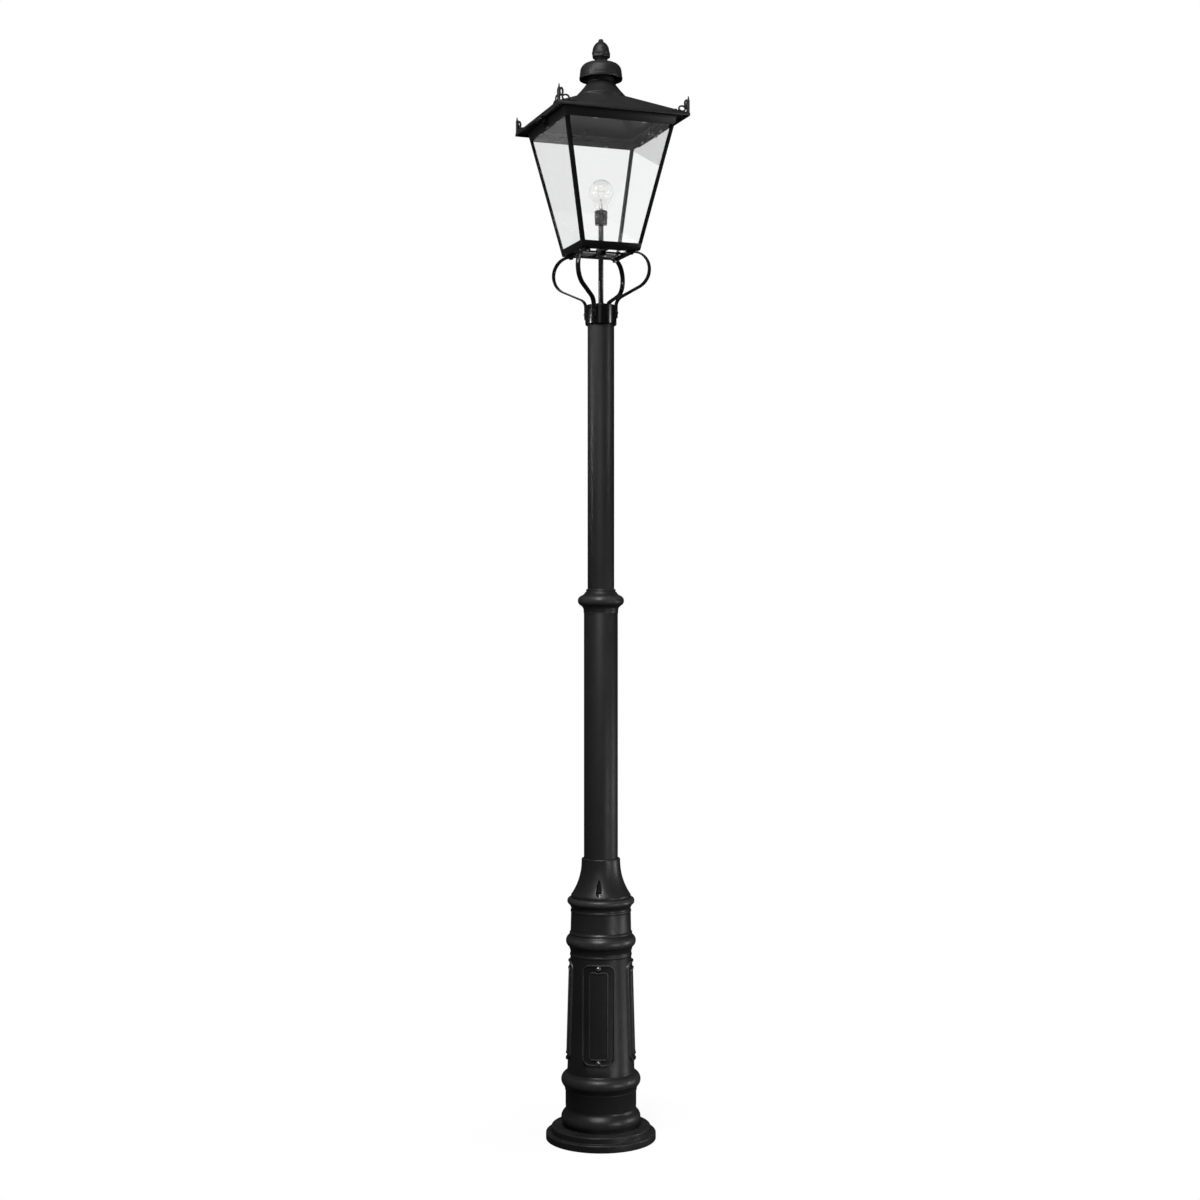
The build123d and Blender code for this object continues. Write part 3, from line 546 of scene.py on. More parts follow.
class Shader:
    """A node material round one Principled shader, patterned on Object coordinates."""

    def __init__(self, name: str) -> None:
        """Start the material.

        Args:
            name: Name of the material.
        """
        self.material = bpy.data.materials.new(name)
        self.material.use_nodes = True
        self.nodes = self.material.node_tree.nodes
        self.links = self.material.node_tree.links
        self.surface = self.nodes["Principled BSDF"]
        self.coords = self.nodes.new("ShaderNodeTexCoord").outputs["Object"]

    def fix(self, **values: object) -> None:
        """Set constant values on the shader's own sockets, with _ for a space in their names."""
        for name, value in values.items():
            self.surface.inputs[name.replace("_", " ")].default_value = value

    def feed(self, socket: str, output: bpy.types.NodeSocket) -> None:
        """Link an output to one of the shader's sockets."""
        self.links.new(output, self.surface.inputs[socket])

    def noise(self, scale: float, detail: float = 2.0, stretch: Point = (1, 1, 1)) -> bpy.types.NodeSocket:
        """Add a noise pattern.

        Args:
            scale: Features per metre.
            detail: Octaves of finer noise.
            stretch: Scale along each axis.

        Returns:
            Its value, from 0 to 1.
        """
        mapping = self.nodes.new("ShaderNodeMapping")
        mapping.inputs["Scale"].default_value = stretch
        self.links.new(self.coords, mapping.inputs["Vector"])
        pattern = self.nodes.new("ShaderNodeTexNoise")
        pattern.inputs["Scale"].default_value = scale
        pattern.inputs["Detail"].default_value = detail
        self.links.new(mapping.outputs["Vector"], pattern.inputs["Vector"])
        return pattern.outputs["Fac"]

    def cells(self, scale: float) -> bpy.types.NodeSocket:
        """Add a cell pattern and return the distance to the nearest cell's middle.

        Args:
            scale: Cells per metre.

        Returns:
            The distance to the nearest cell's middle.
        """
        pattern = self.nodes.new("ShaderNodeTexVoronoi")
        pattern.inputs["Scale"].default_value = scale
        self.links.new(self.coords, pattern.inputs["Vector"])
        return pattern.outputs["Distance"]

    def span(self, value: bpy.types.NodeSocket, start: Station, end: Station) -> bpy.types.NodeSocket:
        """Map a value from one range to another, clamped.

        Args:
            value: The value.
            start: (low, high) of the value.
            end: (low, high) of the result.

        Returns:
            The mapped value.
        """
        node = self.nodes.new("ShaderNodeMapRange")
        for socket, number in zip(("From Min", "From Max", "To Min", "To Max"), (*start, *end)):
            node.inputs[socket].default_value = number
        self.links.new(value, node.inputs["Value"])
        return node.outputs["Result"]

    def product(self, one: bpy.types.NodeSocket, other: bpy.types.NodeSocket,
                operation: str = "MULTIPLY") -> bpy.types.NodeSocket:
        """Combine two values, by multiplying them unless another operation is named.

        Args:
            one: The first one.
            other: The second one.
            operation: Operation of the node.

        Returns:
            The result.
        """
        node = self.nodes.new("ShaderNodeMath")
        node.operation = operation
        self.links.new(one, node.inputs[0])
        self.links.new(other, node.inputs[1])
        return node.outputs[0]

    def blend(self, factor: bpy.types.NodeSocket, one: object, other: object) -> bpy.types.NodeSocket:
        """Mix two colours, each a tuple or the output of another mix.

        Args:
            factor: 0 for the first colour, 1 for the second.
            one: The first one.
            other: The second one.

        Returns:
            The mixed colour.
        """
        node = self.nodes.new("ShaderNodeMix")
        node.data_type = "RGBA"
        self.links.new(factor, node.inputs["Factor"])
        for socket, colour in ((node.inputs[6], one), (node.inputs[7], other)):
            if isinstance(colour, bpy.types.NodeSocket):
                self.links.new(colour, socket)
            else:
                socket.default_value = (*colour, 1.0)
        return node.outputs[2]

    def bump(self, height: bpy.types.NodeSocket, depth: float, strength: float,
             under: Optional[bpy.types.NodeSocket] = None) -> bpy.types.NodeSocket:
        """Add a bump.

        Args:
            height: Pattern of the relief, from 0 to 1.
            depth: Height of the relief in millimetres.
            strength: How strongly it shows.
            under: Normal of a coarser bump under this one.

        Returns:
            The bumped normal.
        """
        node = self.nodes.new("ShaderNodeBump")
        node.inputs["Strength"].default_value = strength
        node.inputs["Distance"].default_value = depth * MM
        self.links.new(height, node.inputs["Height"])
        if under is not None:
            self.links.new(under, node.inputs["Normal"])
        return node.outputs["Normal"]

    def edges(self, start: Station) -> bpy.types.NodeSocket:
        """Return 0 on open surfaces and 1 on outward edges, between two levels of pointedness."""
        sharp = self.nodes.new("ShaderNodeNewGeometry").outputs["Pointiness"]
        return self.span(sharp, start, (0, 1))

    def tops(self, start: Station) -> bpy.types.NodeSocket:
        """Return 0 on walls and undersides and 1 on surfaces that face up.

        Args:
            start: The two levels that give 0 and 1.

        Returns:
            The level, from 0 to 1.
        """
        normal = self.nodes.new("ShaderNodeNewGeometry").outputs["Normal"]
        split = self.nodes.new("ShaderNodeSeparateXYZ")
        self.links.new(normal, split.inputs[0])
        return self.span(split.outputs["Z"], start, (0, 1))


@dataclass(frozen=True)
class PowderCoat:
    """Black powder coat over metal: fine grain, cloudy gloss, painted shade in creases, a patchy painted highlight
    on outward edges, and dust with painted top light on faces that point up.
    """

    name: str
    dark: Point
    light: Point
    roughness: Station
    grain: float
    grain_depth: float
    cast_depth: float
    specular: float
    # Tone of the painted highlight on outward edges.
    painted_highlight_tone: float = 0.075
    # Colour of the painted shade laid into concave creases.
    crease: Point = (0.002, 0.002, 0.002)
    # Colour of the dust, which also paints top light onto faces that point up.
    dust_and_top_light: Point = (0.085, 0.082, 0.078)

    def material(self) -> bpy.types.Material:
        """Build the node material.

        Returns:
            The material.
        """
        shader = Shader(self.name)
        cloud = shader.noise(9.0, 4.0)
        fine = shader.noise(self.grain, 2.0)
        body = shader.blend(shader.span(cloud, (0.3, 0.7), (0, 1)), self.dark, self.light)
        speck = shader.span(fine, (0.55, 0.8), (0, 0.5))
        specked = shader.blend(speck, body, tuple(1.7 * tone for tone in self.light))
        # Painted shade: concave creases, found by low pointiness, are darkened towards the crease colour.
        with_painted_crease_shade = shader.blend(shader.edges((0.49, 0.44)), specked, self.crease)
        # Painted highlight: outward edges, found by high pointiness, are lightened in patches, standing in for
        # light catching the edges.
        highlight_patchiness = shader.span(shader.noise(60.0, 3.0), (0.35, 0.7), (0.5, 0.9))
        painted_highlight_mask = shader.product(shader.edges((0.515, 0.56)), highlight_patchiness)
        with_painted_highlight = shader.blend(painted_highlight_mask, with_painted_crease_shade, (self.painted_highlight_tone,) * 3)
        # Dust and painted top light: faces that point up are lightened in patches, partly as dust and partly as
        # light from above painted in.
        top_patchiness = shader.span(shader.noise(35.0, 5.0), (0.35, 0.75), (0.05, 0.4))
        dust_and_top_light = shader.product(shader.tops((0.75, 1.0)), top_patchiness)
        shader.feed("Base Color", shader.blend(dust_and_top_light, with_painted_highlight, self.dust_and_top_light))
        shader.feed("Roughness", shader.span(shader.noise(22.0, 3.0), (0.3, 0.7), self.roughness))
        cast = shader.bump(shader.noise(55.0, 3.0), self.cast_depth, 0.6)
        shader.feed("Normal", shader.bump(fine, self.grain_depth, 0.55, cast))
        shader.fix(Specular_IOR_Level=self.specular)
        return shader.material


@dataclass(frozen=True)
class BareMetal:
    """Uncoated metal: brushed or turned, with faint stains."""

    name: str
    clean: Point
    stained: Point
    roughness: Station
    stretch: Point = (1, 1, 1)

    def material(self) -> bpy.types.Material:
        """Build the node material.

        Returns:
            The material.
        """
        shader = Shader(self.name)
        stain = shader.span(shader.noise(140.0, 4.0), (0.4, 0.75), (0, 1))
        scratch = shader.noise(1600.0, 2.0, self.stretch)
        shader.feed("Base Color", shader.blend(stain, self.clean, self.stained))
        shader.feed("Roughness", shader.span(scratch, (0.3, 0.7), self.roughness))
        shader.feed("Normal", shader.bump(scratch, 0.05, 0.3))
        shader.fix(Metallic=1.0)
        return shader.material


@dataclass(frozen=True)
class Moulding:
    """Plastic or rubber: a fine moulded texture and slight colour drift."""

    name: str
    dark: Point
    light: Point
    roughness: Station
    texture: float = 900.0
    depth: float = 0.06
    sheen: float = 0.0

    def material(self) -> bpy.types.Material:
        """Build the node material.

        Returns:
            The material.
        """
        shader = Shader(self.name)
        drift = shader.span(shader.noise(30.0, 3.0), (0.3, 0.7), (0, 1))
        texture = shader.noise(self.texture, 2.0)
        shader.feed("Base Color", shader.blend(drift, self.dark, self.light))
        shader.feed("Roughness", shader.span(texture, (0.3, 0.7), self.roughness))
        shader.feed("Normal", shader.bump(texture, self.depth, 0.5))
        shader.fix(Sheen_Weight=self.sheen, Specular_IOR_Level=0.4)
        return shader.material


@dataclass(frozen=True)
class LaminateBoard:
    """Pale resin-faced board: layered streaks and small pores."""

    name: str = "laminate_board"
    dark: Point = (0.36, 0.27, 0.17)
    light: Point = (0.5, 0.4, 0.27)
    pore: Point = (0.2, 0.14, 0.09)

    def material(self) -> bpy.types.Material:
        """Build the node material.

        Returns:
            The material.
        """
        shader = Shader(self.name)
        streak = shader.noise(90.0, 4.0, (1.0, 1.0, 0.08))
        pores = shader.cells(420.0)
        wood = shader.blend(shader.span(streak, (0.3, 0.7), (0, 1)), self.dark, self.light)
        pitted = shader.blend(shader.span(pores, (0.0, 0.2), (0.35, 0)), wood, self.pore)
        shader.feed("Base Color", pitted)
        shader.feed("Roughness", shader.span(streak, (0.3, 0.7), (0.42, 0.6)))
        shader.feed("Normal", shader.bump(pores, 0.08, 0.4))
        return shader.material


@dataclass(frozen=True)
class ClearGlass:
    """Clear glass with faint wipe marks in its gloss."""

    name: str
    tint: Point
    haze: float
    ripple: float

    def material(self) -> bpy.types.Material:
        """Build the node material.

        Returns:
            The material.
        """
        shader = Shader(self.name)
        wipe = shader.noise(14.0, 5.0, (1.0, 1.0, 0.3))
        shader.feed("Base Color", shader.blend(wipe, self.tint, tuple(0.985 * tone for tone in self.tint)))
        shader.feed("Roughness", shader.span(wipe, (0.5, 0.8), (0.0, self.haze)))
        shader.feed("Normal", shader.bump(shader.noise(7.0, 1.0), self.ripple, 0.2))
        shader.fix(Transmission_Weight=1.0, IOR=1.45)
        return shader.material


FINISHES = {
    # The last number of each powder coat is the tone of its painted edge highlight.
    Slot.CAST: PowderCoat("powder_coat_on_cast_iron", (0.016, 0.016, 0.0165), (0.026, 0.026, 0.027),
                          (0.32, 0.44), 620.0, 0.2, 0.45, 0.45, 0.16),
    Slot.TUBE: PowderCoat("powder_coat_on_tube", (0.019, 0.019, 0.0195), (0.026, 0.026, 0.027),
                          (0.4, 0.5), 950.0, 0.1, 0.06, 0.42, 0.03),
    Slot.GLOSS: PowderCoat("gloss_coat_on_bar", (0.0035, 0.0035, 0.0037), (0.0065, 0.0065, 0.0068),
                           (0.16, 0.26), 700.0, 0.05, 0.12, 0.5, 0.012),
    Slot.SECURITY_STEEL: BareMetal("stainless_screw", (0.62, 0.62, 0.61), (0.4, 0.39, 0.37), (0.2, 0.42)),
    Slot.ZINC: BareMetal("zinc_plated_steel", (0.5, 0.51, 0.53), (0.33, 0.32, 0.3), (0.3, 0.55)),
    Slot.BRASS: BareMetal("brass", (0.62, 0.42, 0.16), (0.36, 0.24, 0.1), (0.25, 0.5)),
    Slot.BULB_METAL: BareMetal("lamp_cap_metal", (0.66, 0.65, 0.62), (0.42, 0.4, 0.36), (0.22, 0.4),
                               (1, 1, 6)),
    Slot.RUBBER: Moulding("seal_rubber", (0.010, 0.010, 0.010), (0.022, 0.022, 0.021), (0.6, 0.8), 700.0),
    Slot.CABLE: Moulding("cable_sheath", (0.30, 0.30, 0.29), (0.38, 0.38, 0.36), (0.45, 0.6), 500.0),
    Slot.BOARD: LaminateBoard(),
    Slot.BOX: Moulding("terminal_box_plastic", (0.36, 0.37, 0.37), (0.44, 0.45, 0.44), (0.38, 0.52)),
    Slot.HOLDER: Moulding("holder_resin", (0.008, 0.008, 0.008), (0.017, 0.016, 0.016), (0.2, 0.34), 400.0,
                          0.04),
    Slot.PANE: ClearGlass("pane_glass", (0.98, 0.985, 0.982), 0.03, 0.05),
    Slot.BULB_GLASS: ClearGlass("bulb_glass", (0.99, 0.99, 0.985), 0.015, 0.1),
}


class PaintShop:
    """Makes each finish once and dresses pieces with it."""

    def __init__(self) -> None:
        """Start with no material made."""
        self.made: dict[Slot, bpy.types.Material] = {}

    def finish(self, slot: Slot) -> bpy.types.Material:
        """Return the material of a slot, made on first use.

        Args:
            slot: The slot.

        Returns:
            The material.
        """
        if slot not in self.made:
            self.made[slot] = FINISHES[slot].material()
        return self.made[slot]

    def dress(self, piece: Piece, body: Body, slot: Slot, replaced: Sequence[str]) -> Piece:
        """Args:
            piece: The finished piece.
            body: Body it rides on.
            slot: Material slot of its finish.
            replaced: CAD nodes that it stands for.

        Returns:
            The piece.
        """
        piece.data.materials.clear()
        piece.data.materials.append(self.finish(slot))
        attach(piece, body.value)
        if replaced:
            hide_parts(*replaced)
        log.info("%s: %d faces, rides on %s", piece.name, len(piece.data.polygons), body.value)
        return piece

    def dress_frame(self) -> None:
        """Give every CAD node the finish of its slot in the record."""
        slots = {part["node"]: Slot(part["material_slot"]) for part in frame["record"]["subparts"]}
        for name, node in frame["nodes"].items():
            node.data.materials.clear()
            node.data.materials.append(self.finish(slots[name]))
            log.info("%s: CAD node in %s", name, slots[name].value)


# ---- pedestal ------------------------------------------------------------------------------------

@dataclass
class Drum:
    """Tapered drum of the pedestal, which the door and the panels follow."""

    low: float = 173.0
    low_radius: float = 82.4
    high: float = 449.0
    high_radius: float = 75.0

    def radius(self, z: float) -> float:
        """Radius of the drum at a height."""
        taper = (self.high_radius - self.low_radius) / (self.high - self.low)
        return self.low_radius + (z - self.low) * taper

    def wrap(self, piece: Piece, pitch: float = 3.0) -> Piece:
        """Bend a flat piece, drawn in X and Z with its relief along -Y, onto the drum.

        Args:
            piece: The flat piece.
            pitch: Width of the strips that it is divided into first.

        Returns:
            The bent piece.
        """
        Bench.take(piece)
        reach = max(abs(v.co.x) for v in piece.data.vertices) / MM
        bpy.ops.object.mode_set(mode="EDIT")
        strips = int(reach / pitch)
        for i in range(-strips, strips + 1):
            bpy.ops.mesh.select_all(action="SELECT")
            bpy.ops.mesh.bisect(plane_co=(i * pitch * MM, 0, 0), plane_no=(1, 0, 0))
        bpy.ops.object.mode_set(mode="OBJECT")
        for vertex in piece.data.vertices:
            x, relief, z = vertex.co.x / MM, -vertex.co.y / MM, vertex.co.z / MM
            vertex.co.y = -sqrt((self.radius(z) + relief) ** 2 - x * x) * MM
        return Bench.smooth(piece)


@dataclass
class BeadedPanel:
    """Raised panel with an outer bead, a groove, an inner bead and a flat field."""

    width: float = 80.5
    low: float = 196.0
    high: float = 438.0
    corner: float = 19.0
    field_width: float = 47.0
    field_low: float = 209.0
    field_high: float = 421.0
    field_corner: float = 8.0
    bead: float = 2.8
    face: float = 2.0
    field_face: float = 2.7
    bead_face: float = 4.9
    screw_z: float = 429.5
    scallop: float = 10.5
    sunk: float = 0.3
    field_sunk: float = 0.4
    crease: float = 1.5
    soften: float = 0.9

    def sheet(self, name: str, points: Sequence[Vector], relief: float) -> Piece:
        """Draw an outline at a relief over the drum and fill it, in edit mode.

        Args:
            name: Name of the new piece.
            points: Its outline.
            relief: Where it stands over the drum.

        Returns:
            The filled outline, all selected.
        """
        piece = Bench.draw(name, [(p.x, -relief, p.y) for p in points], True)
        Bench.fill()
        bpy.ops.mesh.select_all(action="SELECT")
        return piece

    def field_outline(self) -> list[Vector]:
        """Outline of the inner bead: a rounded rectangle whose top edge dips round the screw.

        Returns:
            The outline's points.
        """
        points = rounded_rectangle(self.field_width, self.field_low, self.field_high, self.field_corner, 6)
        half = atan2(sqrt(self.scallop ** 2 - (self.screw_z - self.field_high) ** 2),
                     self.screw_z - self.field_high)
        turns = [half * (1 - i / 4) for i in range(9)]
        dip = [Vector((self.scallop * sin(t), self.screw_z - self.scallop * cos(t))) for t in turns]
        return points[:14] + dip + points[14:]

    def frame(self, name: str, points: Sequence[Vector], relief: float, height: float, width: float) -> Piece:
        """Make a closed flat ring.

        Args:
            name: Name of the ring.
            points: Its outer outline.
            relief: Where its back stands over the drum.
            height: Its thickness.
            width: Its width.

        Returns:
            The ring.
        """
        self.sheet(name, points, relief)
        bpy.ops.mesh.inset(thickness=width * MM)
        bpy.ops.mesh.delete(type="FACE")
        bpy.ops.mesh.select_all(action="SELECT")
        Bench.extrude((0, -height, 0))
        return Bench.close_up()

    def build(self, name: str, back: float) -> Piece:
        """Make the flat panel.

        Args:
            name: Name of the panel.
            back: Where its back stands over the drum.

        Returns:
            The flat panel with softened beads.
        """
        self.sheet(name, rounded_rectangle(self.width, self.low, self.high, self.corner, 10), back)
        Bench.extrude((0, back - self.bead_face, 0))
        bpy.ops.mesh.inset(thickness=self.bead * MM)
        Bench.extrude((0, self.bead_face - self.face, 0))
        plate = Bench.close_up()
        rise = self.bead_face - self.face + self.sunk
        bead = self.frame(f"{name}_bead", self.field_outline(), self.face - self.sunk, rise, self.bead)
        self.sheet(f"{name}_field", self.field_outline(), self.face - self.field_sunk)
        Bench.extrude((0, self.face - self.field_sunk - self.field_face, 0))
        bpy.ops.mesh.inset(thickness=self.bead * MM)
        bpy.ops.mesh.inset(thickness=self.crease * MM)
        field = Bench.close_up()
        Bench.bevel(bead, self.soften, 3, 60)
        Bench.bevel(plate, self.soften, 3, 60)
        return Bench.join([plate, bead, field], name)


@dataclass
class FootFlange:
    """Two-tier round flange on the ground, recessed and holed underneath."""

    radius: float = 135.0
    step_radius: float = 122.0
    step_z: float = 17.5
    recess: float = 76.0
    web: float = 16.0
    duct: float = 45.0
    anchor_ring: float = 62.0
    anchor_hole: float = 7.0
    screw_ring: float = 84.0
    screw_hole: float = 9.0
    screw_depth: float = 12.0

    def drill(self, plate: Piece, ring: float, radius: float, top: float, first: float) -> None:
        """Drill four holes evenly round a ring, from below.

        Args:
            plate: The flange.
            ring: Radius of the ring that the holes stand on.
            radius: Radius of each hole.
            top: How high each hole goes.
            first: Bearing of the first hole in degrees.
        """
        for i in range(4):
            bearing = radians(first + 90 * i)
            at = (ring * cos(bearing), ring * sin(bearing))
            Bench.combine(plate, Bench.rod("drill", radius, -1, top, at))

    def build(self, shop: PaintShop) -> None:
        """Turn the flange, drill its anchor holes and dress it.

        Args:
            shop: Dresses the finished pieces.
        """
        top = top_of("base_plate")
        plate = Bench.turned("foot_flange", [
            (self.duct, 0), (self.radius - 1, 0), (self.radius, 1, 0.3), (self.radius, self.step_z - 3),
            (self.radius - 3, self.step_z, 0.9), (self.step_radius + 1.2, self.step_z + 0.2),
            (self.step_radius, self.step_z + 1.4, -0.4), (self.step_radius - 0.4, top - 3.4),
            (self.step_radius - 3.4, top - 0.4, 0.9), (92, top), (self.recess, top), (self.recess, self.web),
            (self.duct, self.web)], 0.6, 128)
        self.drill(plate, self.anchor_ring, self.anchor_hole, self.web + 1, 0)
        self.drill(plate, self.screw_ring, self.screw_hole, self.screw_depth, 45)
        shop.dress(Bench.smooth(plate), Body.POST, Slot.CAST, ["base_plate"])


@dataclass
class Pedestal:
    """Hollow cast pedestal: mouldings, tapered drum with three blind panels, and the service opening."""

    drum: Drum
    panel: BeadedPanel
    hatch_width: float = 62.0
    hatch_low: float = 216.0
    hatch_high: float = 414.0
    hatch_corner: float = 12.0

    def casting(self) -> Piece:
        """Turn the casting's outer mouldings and its cavity as one closed section.

        Returns:
            The casting.
        """
        low, top = low_of("pedestal"), top_of("pedestal")
        return Bench.turned("pedestal_casting", [
            (79, low), (88.5, low), (90.5, low + 2, 0.5), (91, 38), (91.5, 68, 6.3), (89.5, 70.5),
            (87, 82, -1.5),
            (87, 118), (88.5, 121.5), (90, 128, -0.7), (91.2, 131.5), (90.5, 161, 6.9), (86.5, 163.5),
            (83, 169.5, -1.2), (self.drum.low_radius, self.drum.low), (self.drum.high_radius, self.drum.high),
            (75.2, 456, 1.2), (76.8, 466, -0.7), (78.5, 472), (78.5, 500, 7.6), (76.4, 502.5),
            (76.2, 508, 1.0),
            (74.5, 511), (73.5, 556), (73.6, 563, 1.2), (75.5, 571, -1.0), (76.8, 574.5), (77.5, top, 5.6),
            (55.2, top), (55.2, 560), (65, 560), (67, 449), (74.4, 178), (79, 155)], 0.7, 128)

    def opening(self) -> Piece:
        """Cutter of the service opening, with rounded corners.

        Returns:
            The cutter.
        """
        points = rounded_rectangle(self.hatch_width, self.hatch_low, self.hatch_high, self.hatch_corner)
        self.panel.sheet("opening", points, 30)
        Bench.extrude((0, -80, 0))
        return Bench.close_up()

    def build(self, shop: PaintShop) -> None:
        """Make the casting, cut the opening, set the blind panels on it and dress it.

        Args:
            shop: Dresses the finished pieces.
        """
        body = Bench.combine(self.casting(), self.opening())
        blind = self.drum.wrap(self.panel.build("blind_panel", -2.0))
        panels = [Bench.copy(blind, f"blind_panel_{bearing}", bearing) for bearing in (90, 180, 270)]
        bpy.data.objects.remove(blind)
        piece = Bench.join([Bench.smooth(body)] + panels, "pedestal_casting")
        shop.dress(piece, Body.POST, Slot.CAST, ["pedestal"])


@dataclass
class ServiceDoor:
    """Curved door: beaded panel, locating rib behind it and a boss round each screw."""

    drum: Drum
    panel: BeadedPanel
    pedestal: Pedestal
    gap: float = 1.0
    boss_radius: float = 7.0
    boss_face: float = 5.0
    boss_depth: float = 2.5
    screw_hole: float = 3.3
    rib_gap: float = 0.6
    rib_depth: float = 6.0
    rib_width: float = 3.0

    def boss(self, z: float) -> Piece:
        """Turn the boss of the screw at a height.

        Args:
            z: Height of the screw.

        Returns:
            The boss.
        """
        face = self.drum.radius(z) + self.boss_face
        boss = Bench.turned("door_boss", [
            (self.screw_hole, face - self.boss_depth), (self.boss_radius, face - self.boss_depth),
            (self.boss_radius - 0.4, face - 0.7), (self.boss_radius - 1.5, face, 0.2),
            (self.screw_hole, face)], 0.3, 32)
        return Bench.radial(boss, z, -90)

    def build(self, shop: PaintShop) -> None:
        """Make the door and dress it.

        Args:
            shop: Dresses the finished pieces.
        """
        hatch, inset = self.pedestal, self.rib_gap
        rib_outline = rounded_rectangle(hatch.hatch_width - 2 * inset, hatch.hatch_low + inset,
                                        hatch.hatch_high - inset, hatch.hatch_corner - inset)
        height = self.gap + self.rib_depth + 0.5
        rib = self.drum.wrap(self.panel.frame("door_rib", rib_outline, -self.rib_depth, height,
                                              self.rib_width))
        door = self.drum.wrap(self.panel.build("door_panel", self.gap))
        nodes = ("door_screw_lower", "door_screw_upper")
        screws = [(low_of(node) + top_of(node)) / 2 for node in nodes]
        piece = Bench.join([door, rib] + [self.boss(z) for z in screws], "service_door")
        shop.dress(piece, Body.DOOR, Slot.CAST, ["access_door"])


@dataclass
class Neck:
    """Flared neck casting with three upright screw pockets."""

    spigot: float = 54.9
    bore: float = 42.0
    pocket_half: float = 7.6
    pocket_low: float = 600.5
    pocket_widest: float = 610.0
    pocket_tip: float = 641.0
    pocket_bottom: float = 47.5
    pocket_reach: float = 80.0
    low_bow: float = 2.6
    high_bow: float = 1.9

    def pocket(self) -> Piece:
        """Make the cutter of the front pocket: a pointed drop, pushed towards the axis.

        Returns:
            The cutter.
        """
        half, widest = self.pocket_half, self.pocket_widest
        drop = outline([(0, self.pocket_low), (half, widest, self.low_bow),
                        (0, self.pocket_tip, self.high_bow),
                        (-half, widest, self.high_bow), (0, self.pocket_low, self.low_bow)], 0.0, True)
        Bench.draw("pocket", [(p.x, -self.pocket_reach, p.y) for p in drop[:-1]], True)
        Bench.fill()
        bpy.ops.mesh.select_all(action="SELECT")
        Bench.extrude((0, self.pocket_reach - self.pocket_bottom, 0))
        return Bench.close_up()

    def build(self, shop: PaintShop) -> None:
        """Turn the neck, sink its pockets and dress it.

        Args:
            shop: Dresses the finished pieces.
        """
        low, top = low_of("neck_casting"), top_of("neck_casting")
        seat = low_of("lower_tube")
        neck = Bench.turned("neck_flare", [
            (34, low), (self.spigot, low), (self.spigot, 593.5), (73.2, 593.5), (73.4, 597), (71.5, 601, 0.6),
            (47.6, 676, -5.4), (47.4, top - 3), (46, top, 0.5), (self.bore, top), (self.bore, seat),
            (34, seat)],
            0.5, 128)
        for turn in (0, 120, 240):
            Bench.combine(neck, Bench.turn(self.pocket(), turn))
        Bench.bevel(neck, 0.7, 3, 35)
        shop.dress(neck, Body.POST, Slot.CAST, ["neck_casting"])


# ---- column --------------------------------------------------------------------------------------

@dataclass
class Column:
    """The two steel tubes and the moulded collar between them."""

    lower_radius: float = 41.8
    lower_wall: float = 4.0
    upper_radius: float = 32.8
    upper_wall: float = 3.5
    grub_hole: float = 3.0
    grub_z: float = 1320.0

    def tube(self, name: str, node: str, radius: float, wall: float) -> Piece:
        """Turn a tube with chamfered mouths between the heights of its CAD node.

        Args:
            name: Name of the new piece.
            node: CAD node whose heights it takes.
            radius: Its radius.
            wall: Thickness of its wall.

        Returns:
            The tube.
        """
        low, top = low_of(node), top_of(node)
        bore = radius - wall
        return Bench.turned(name, [(bore, low), (radius, low), (radius, top), (bore, top)], 1.0, 96)

    def collar(self) -> Piece:
        """Turn the collar and drill its two grub screw holes.

        Returns:
            The collar.
        """
        low, top = low_of("column_collar"), top_of("column_collar")
        step = top_of("lower_tube")
        collar = Bench.turned("reducing_collar", [
            (41.9, low), (42.6, low), (42.8, 1298), (50, 1308.5, -1.5), (49, 1332.5, 7.5),
            (38.5, 1341.5, -1.5),
            (36.2, 1343), (36.2, top - 1), (35.2, top), (32.9, top), (32.9, step), (41.9, step)], 0.6, 128)
        for bearing in (45, 135):
            drill = Bench.rod("drill", self.grub_hole, 45, 60)
            Bench.combine(collar, Bench.radial(drill, self.grub_z, bearing))
        return Bench.smooth(collar)

    def build(self, shop: PaintShop) -> None:
        """Make and dress the column's pieces.

        Args:
            shop: Dresses the finished pieces.
        """
        lower = self.tube("lower_column", "lower_tube", self.lower_radius, self.lower_wall)
        upper = self.tube("upper_column", "upper_tube", self.upper_radius, self.upper_wall)
        shop.dress(lower, Body.POST, Slot.TUBE, ["lower_tube"])
        shop.dress(upper, Body.POST, Slot.TUBE, ["upper_tube"])
        shop.dress(self.collar(), Body.POST, Slot.CAST, ["column_collar"])


# ---- frog legs -----------------------------------------------------------------------------------

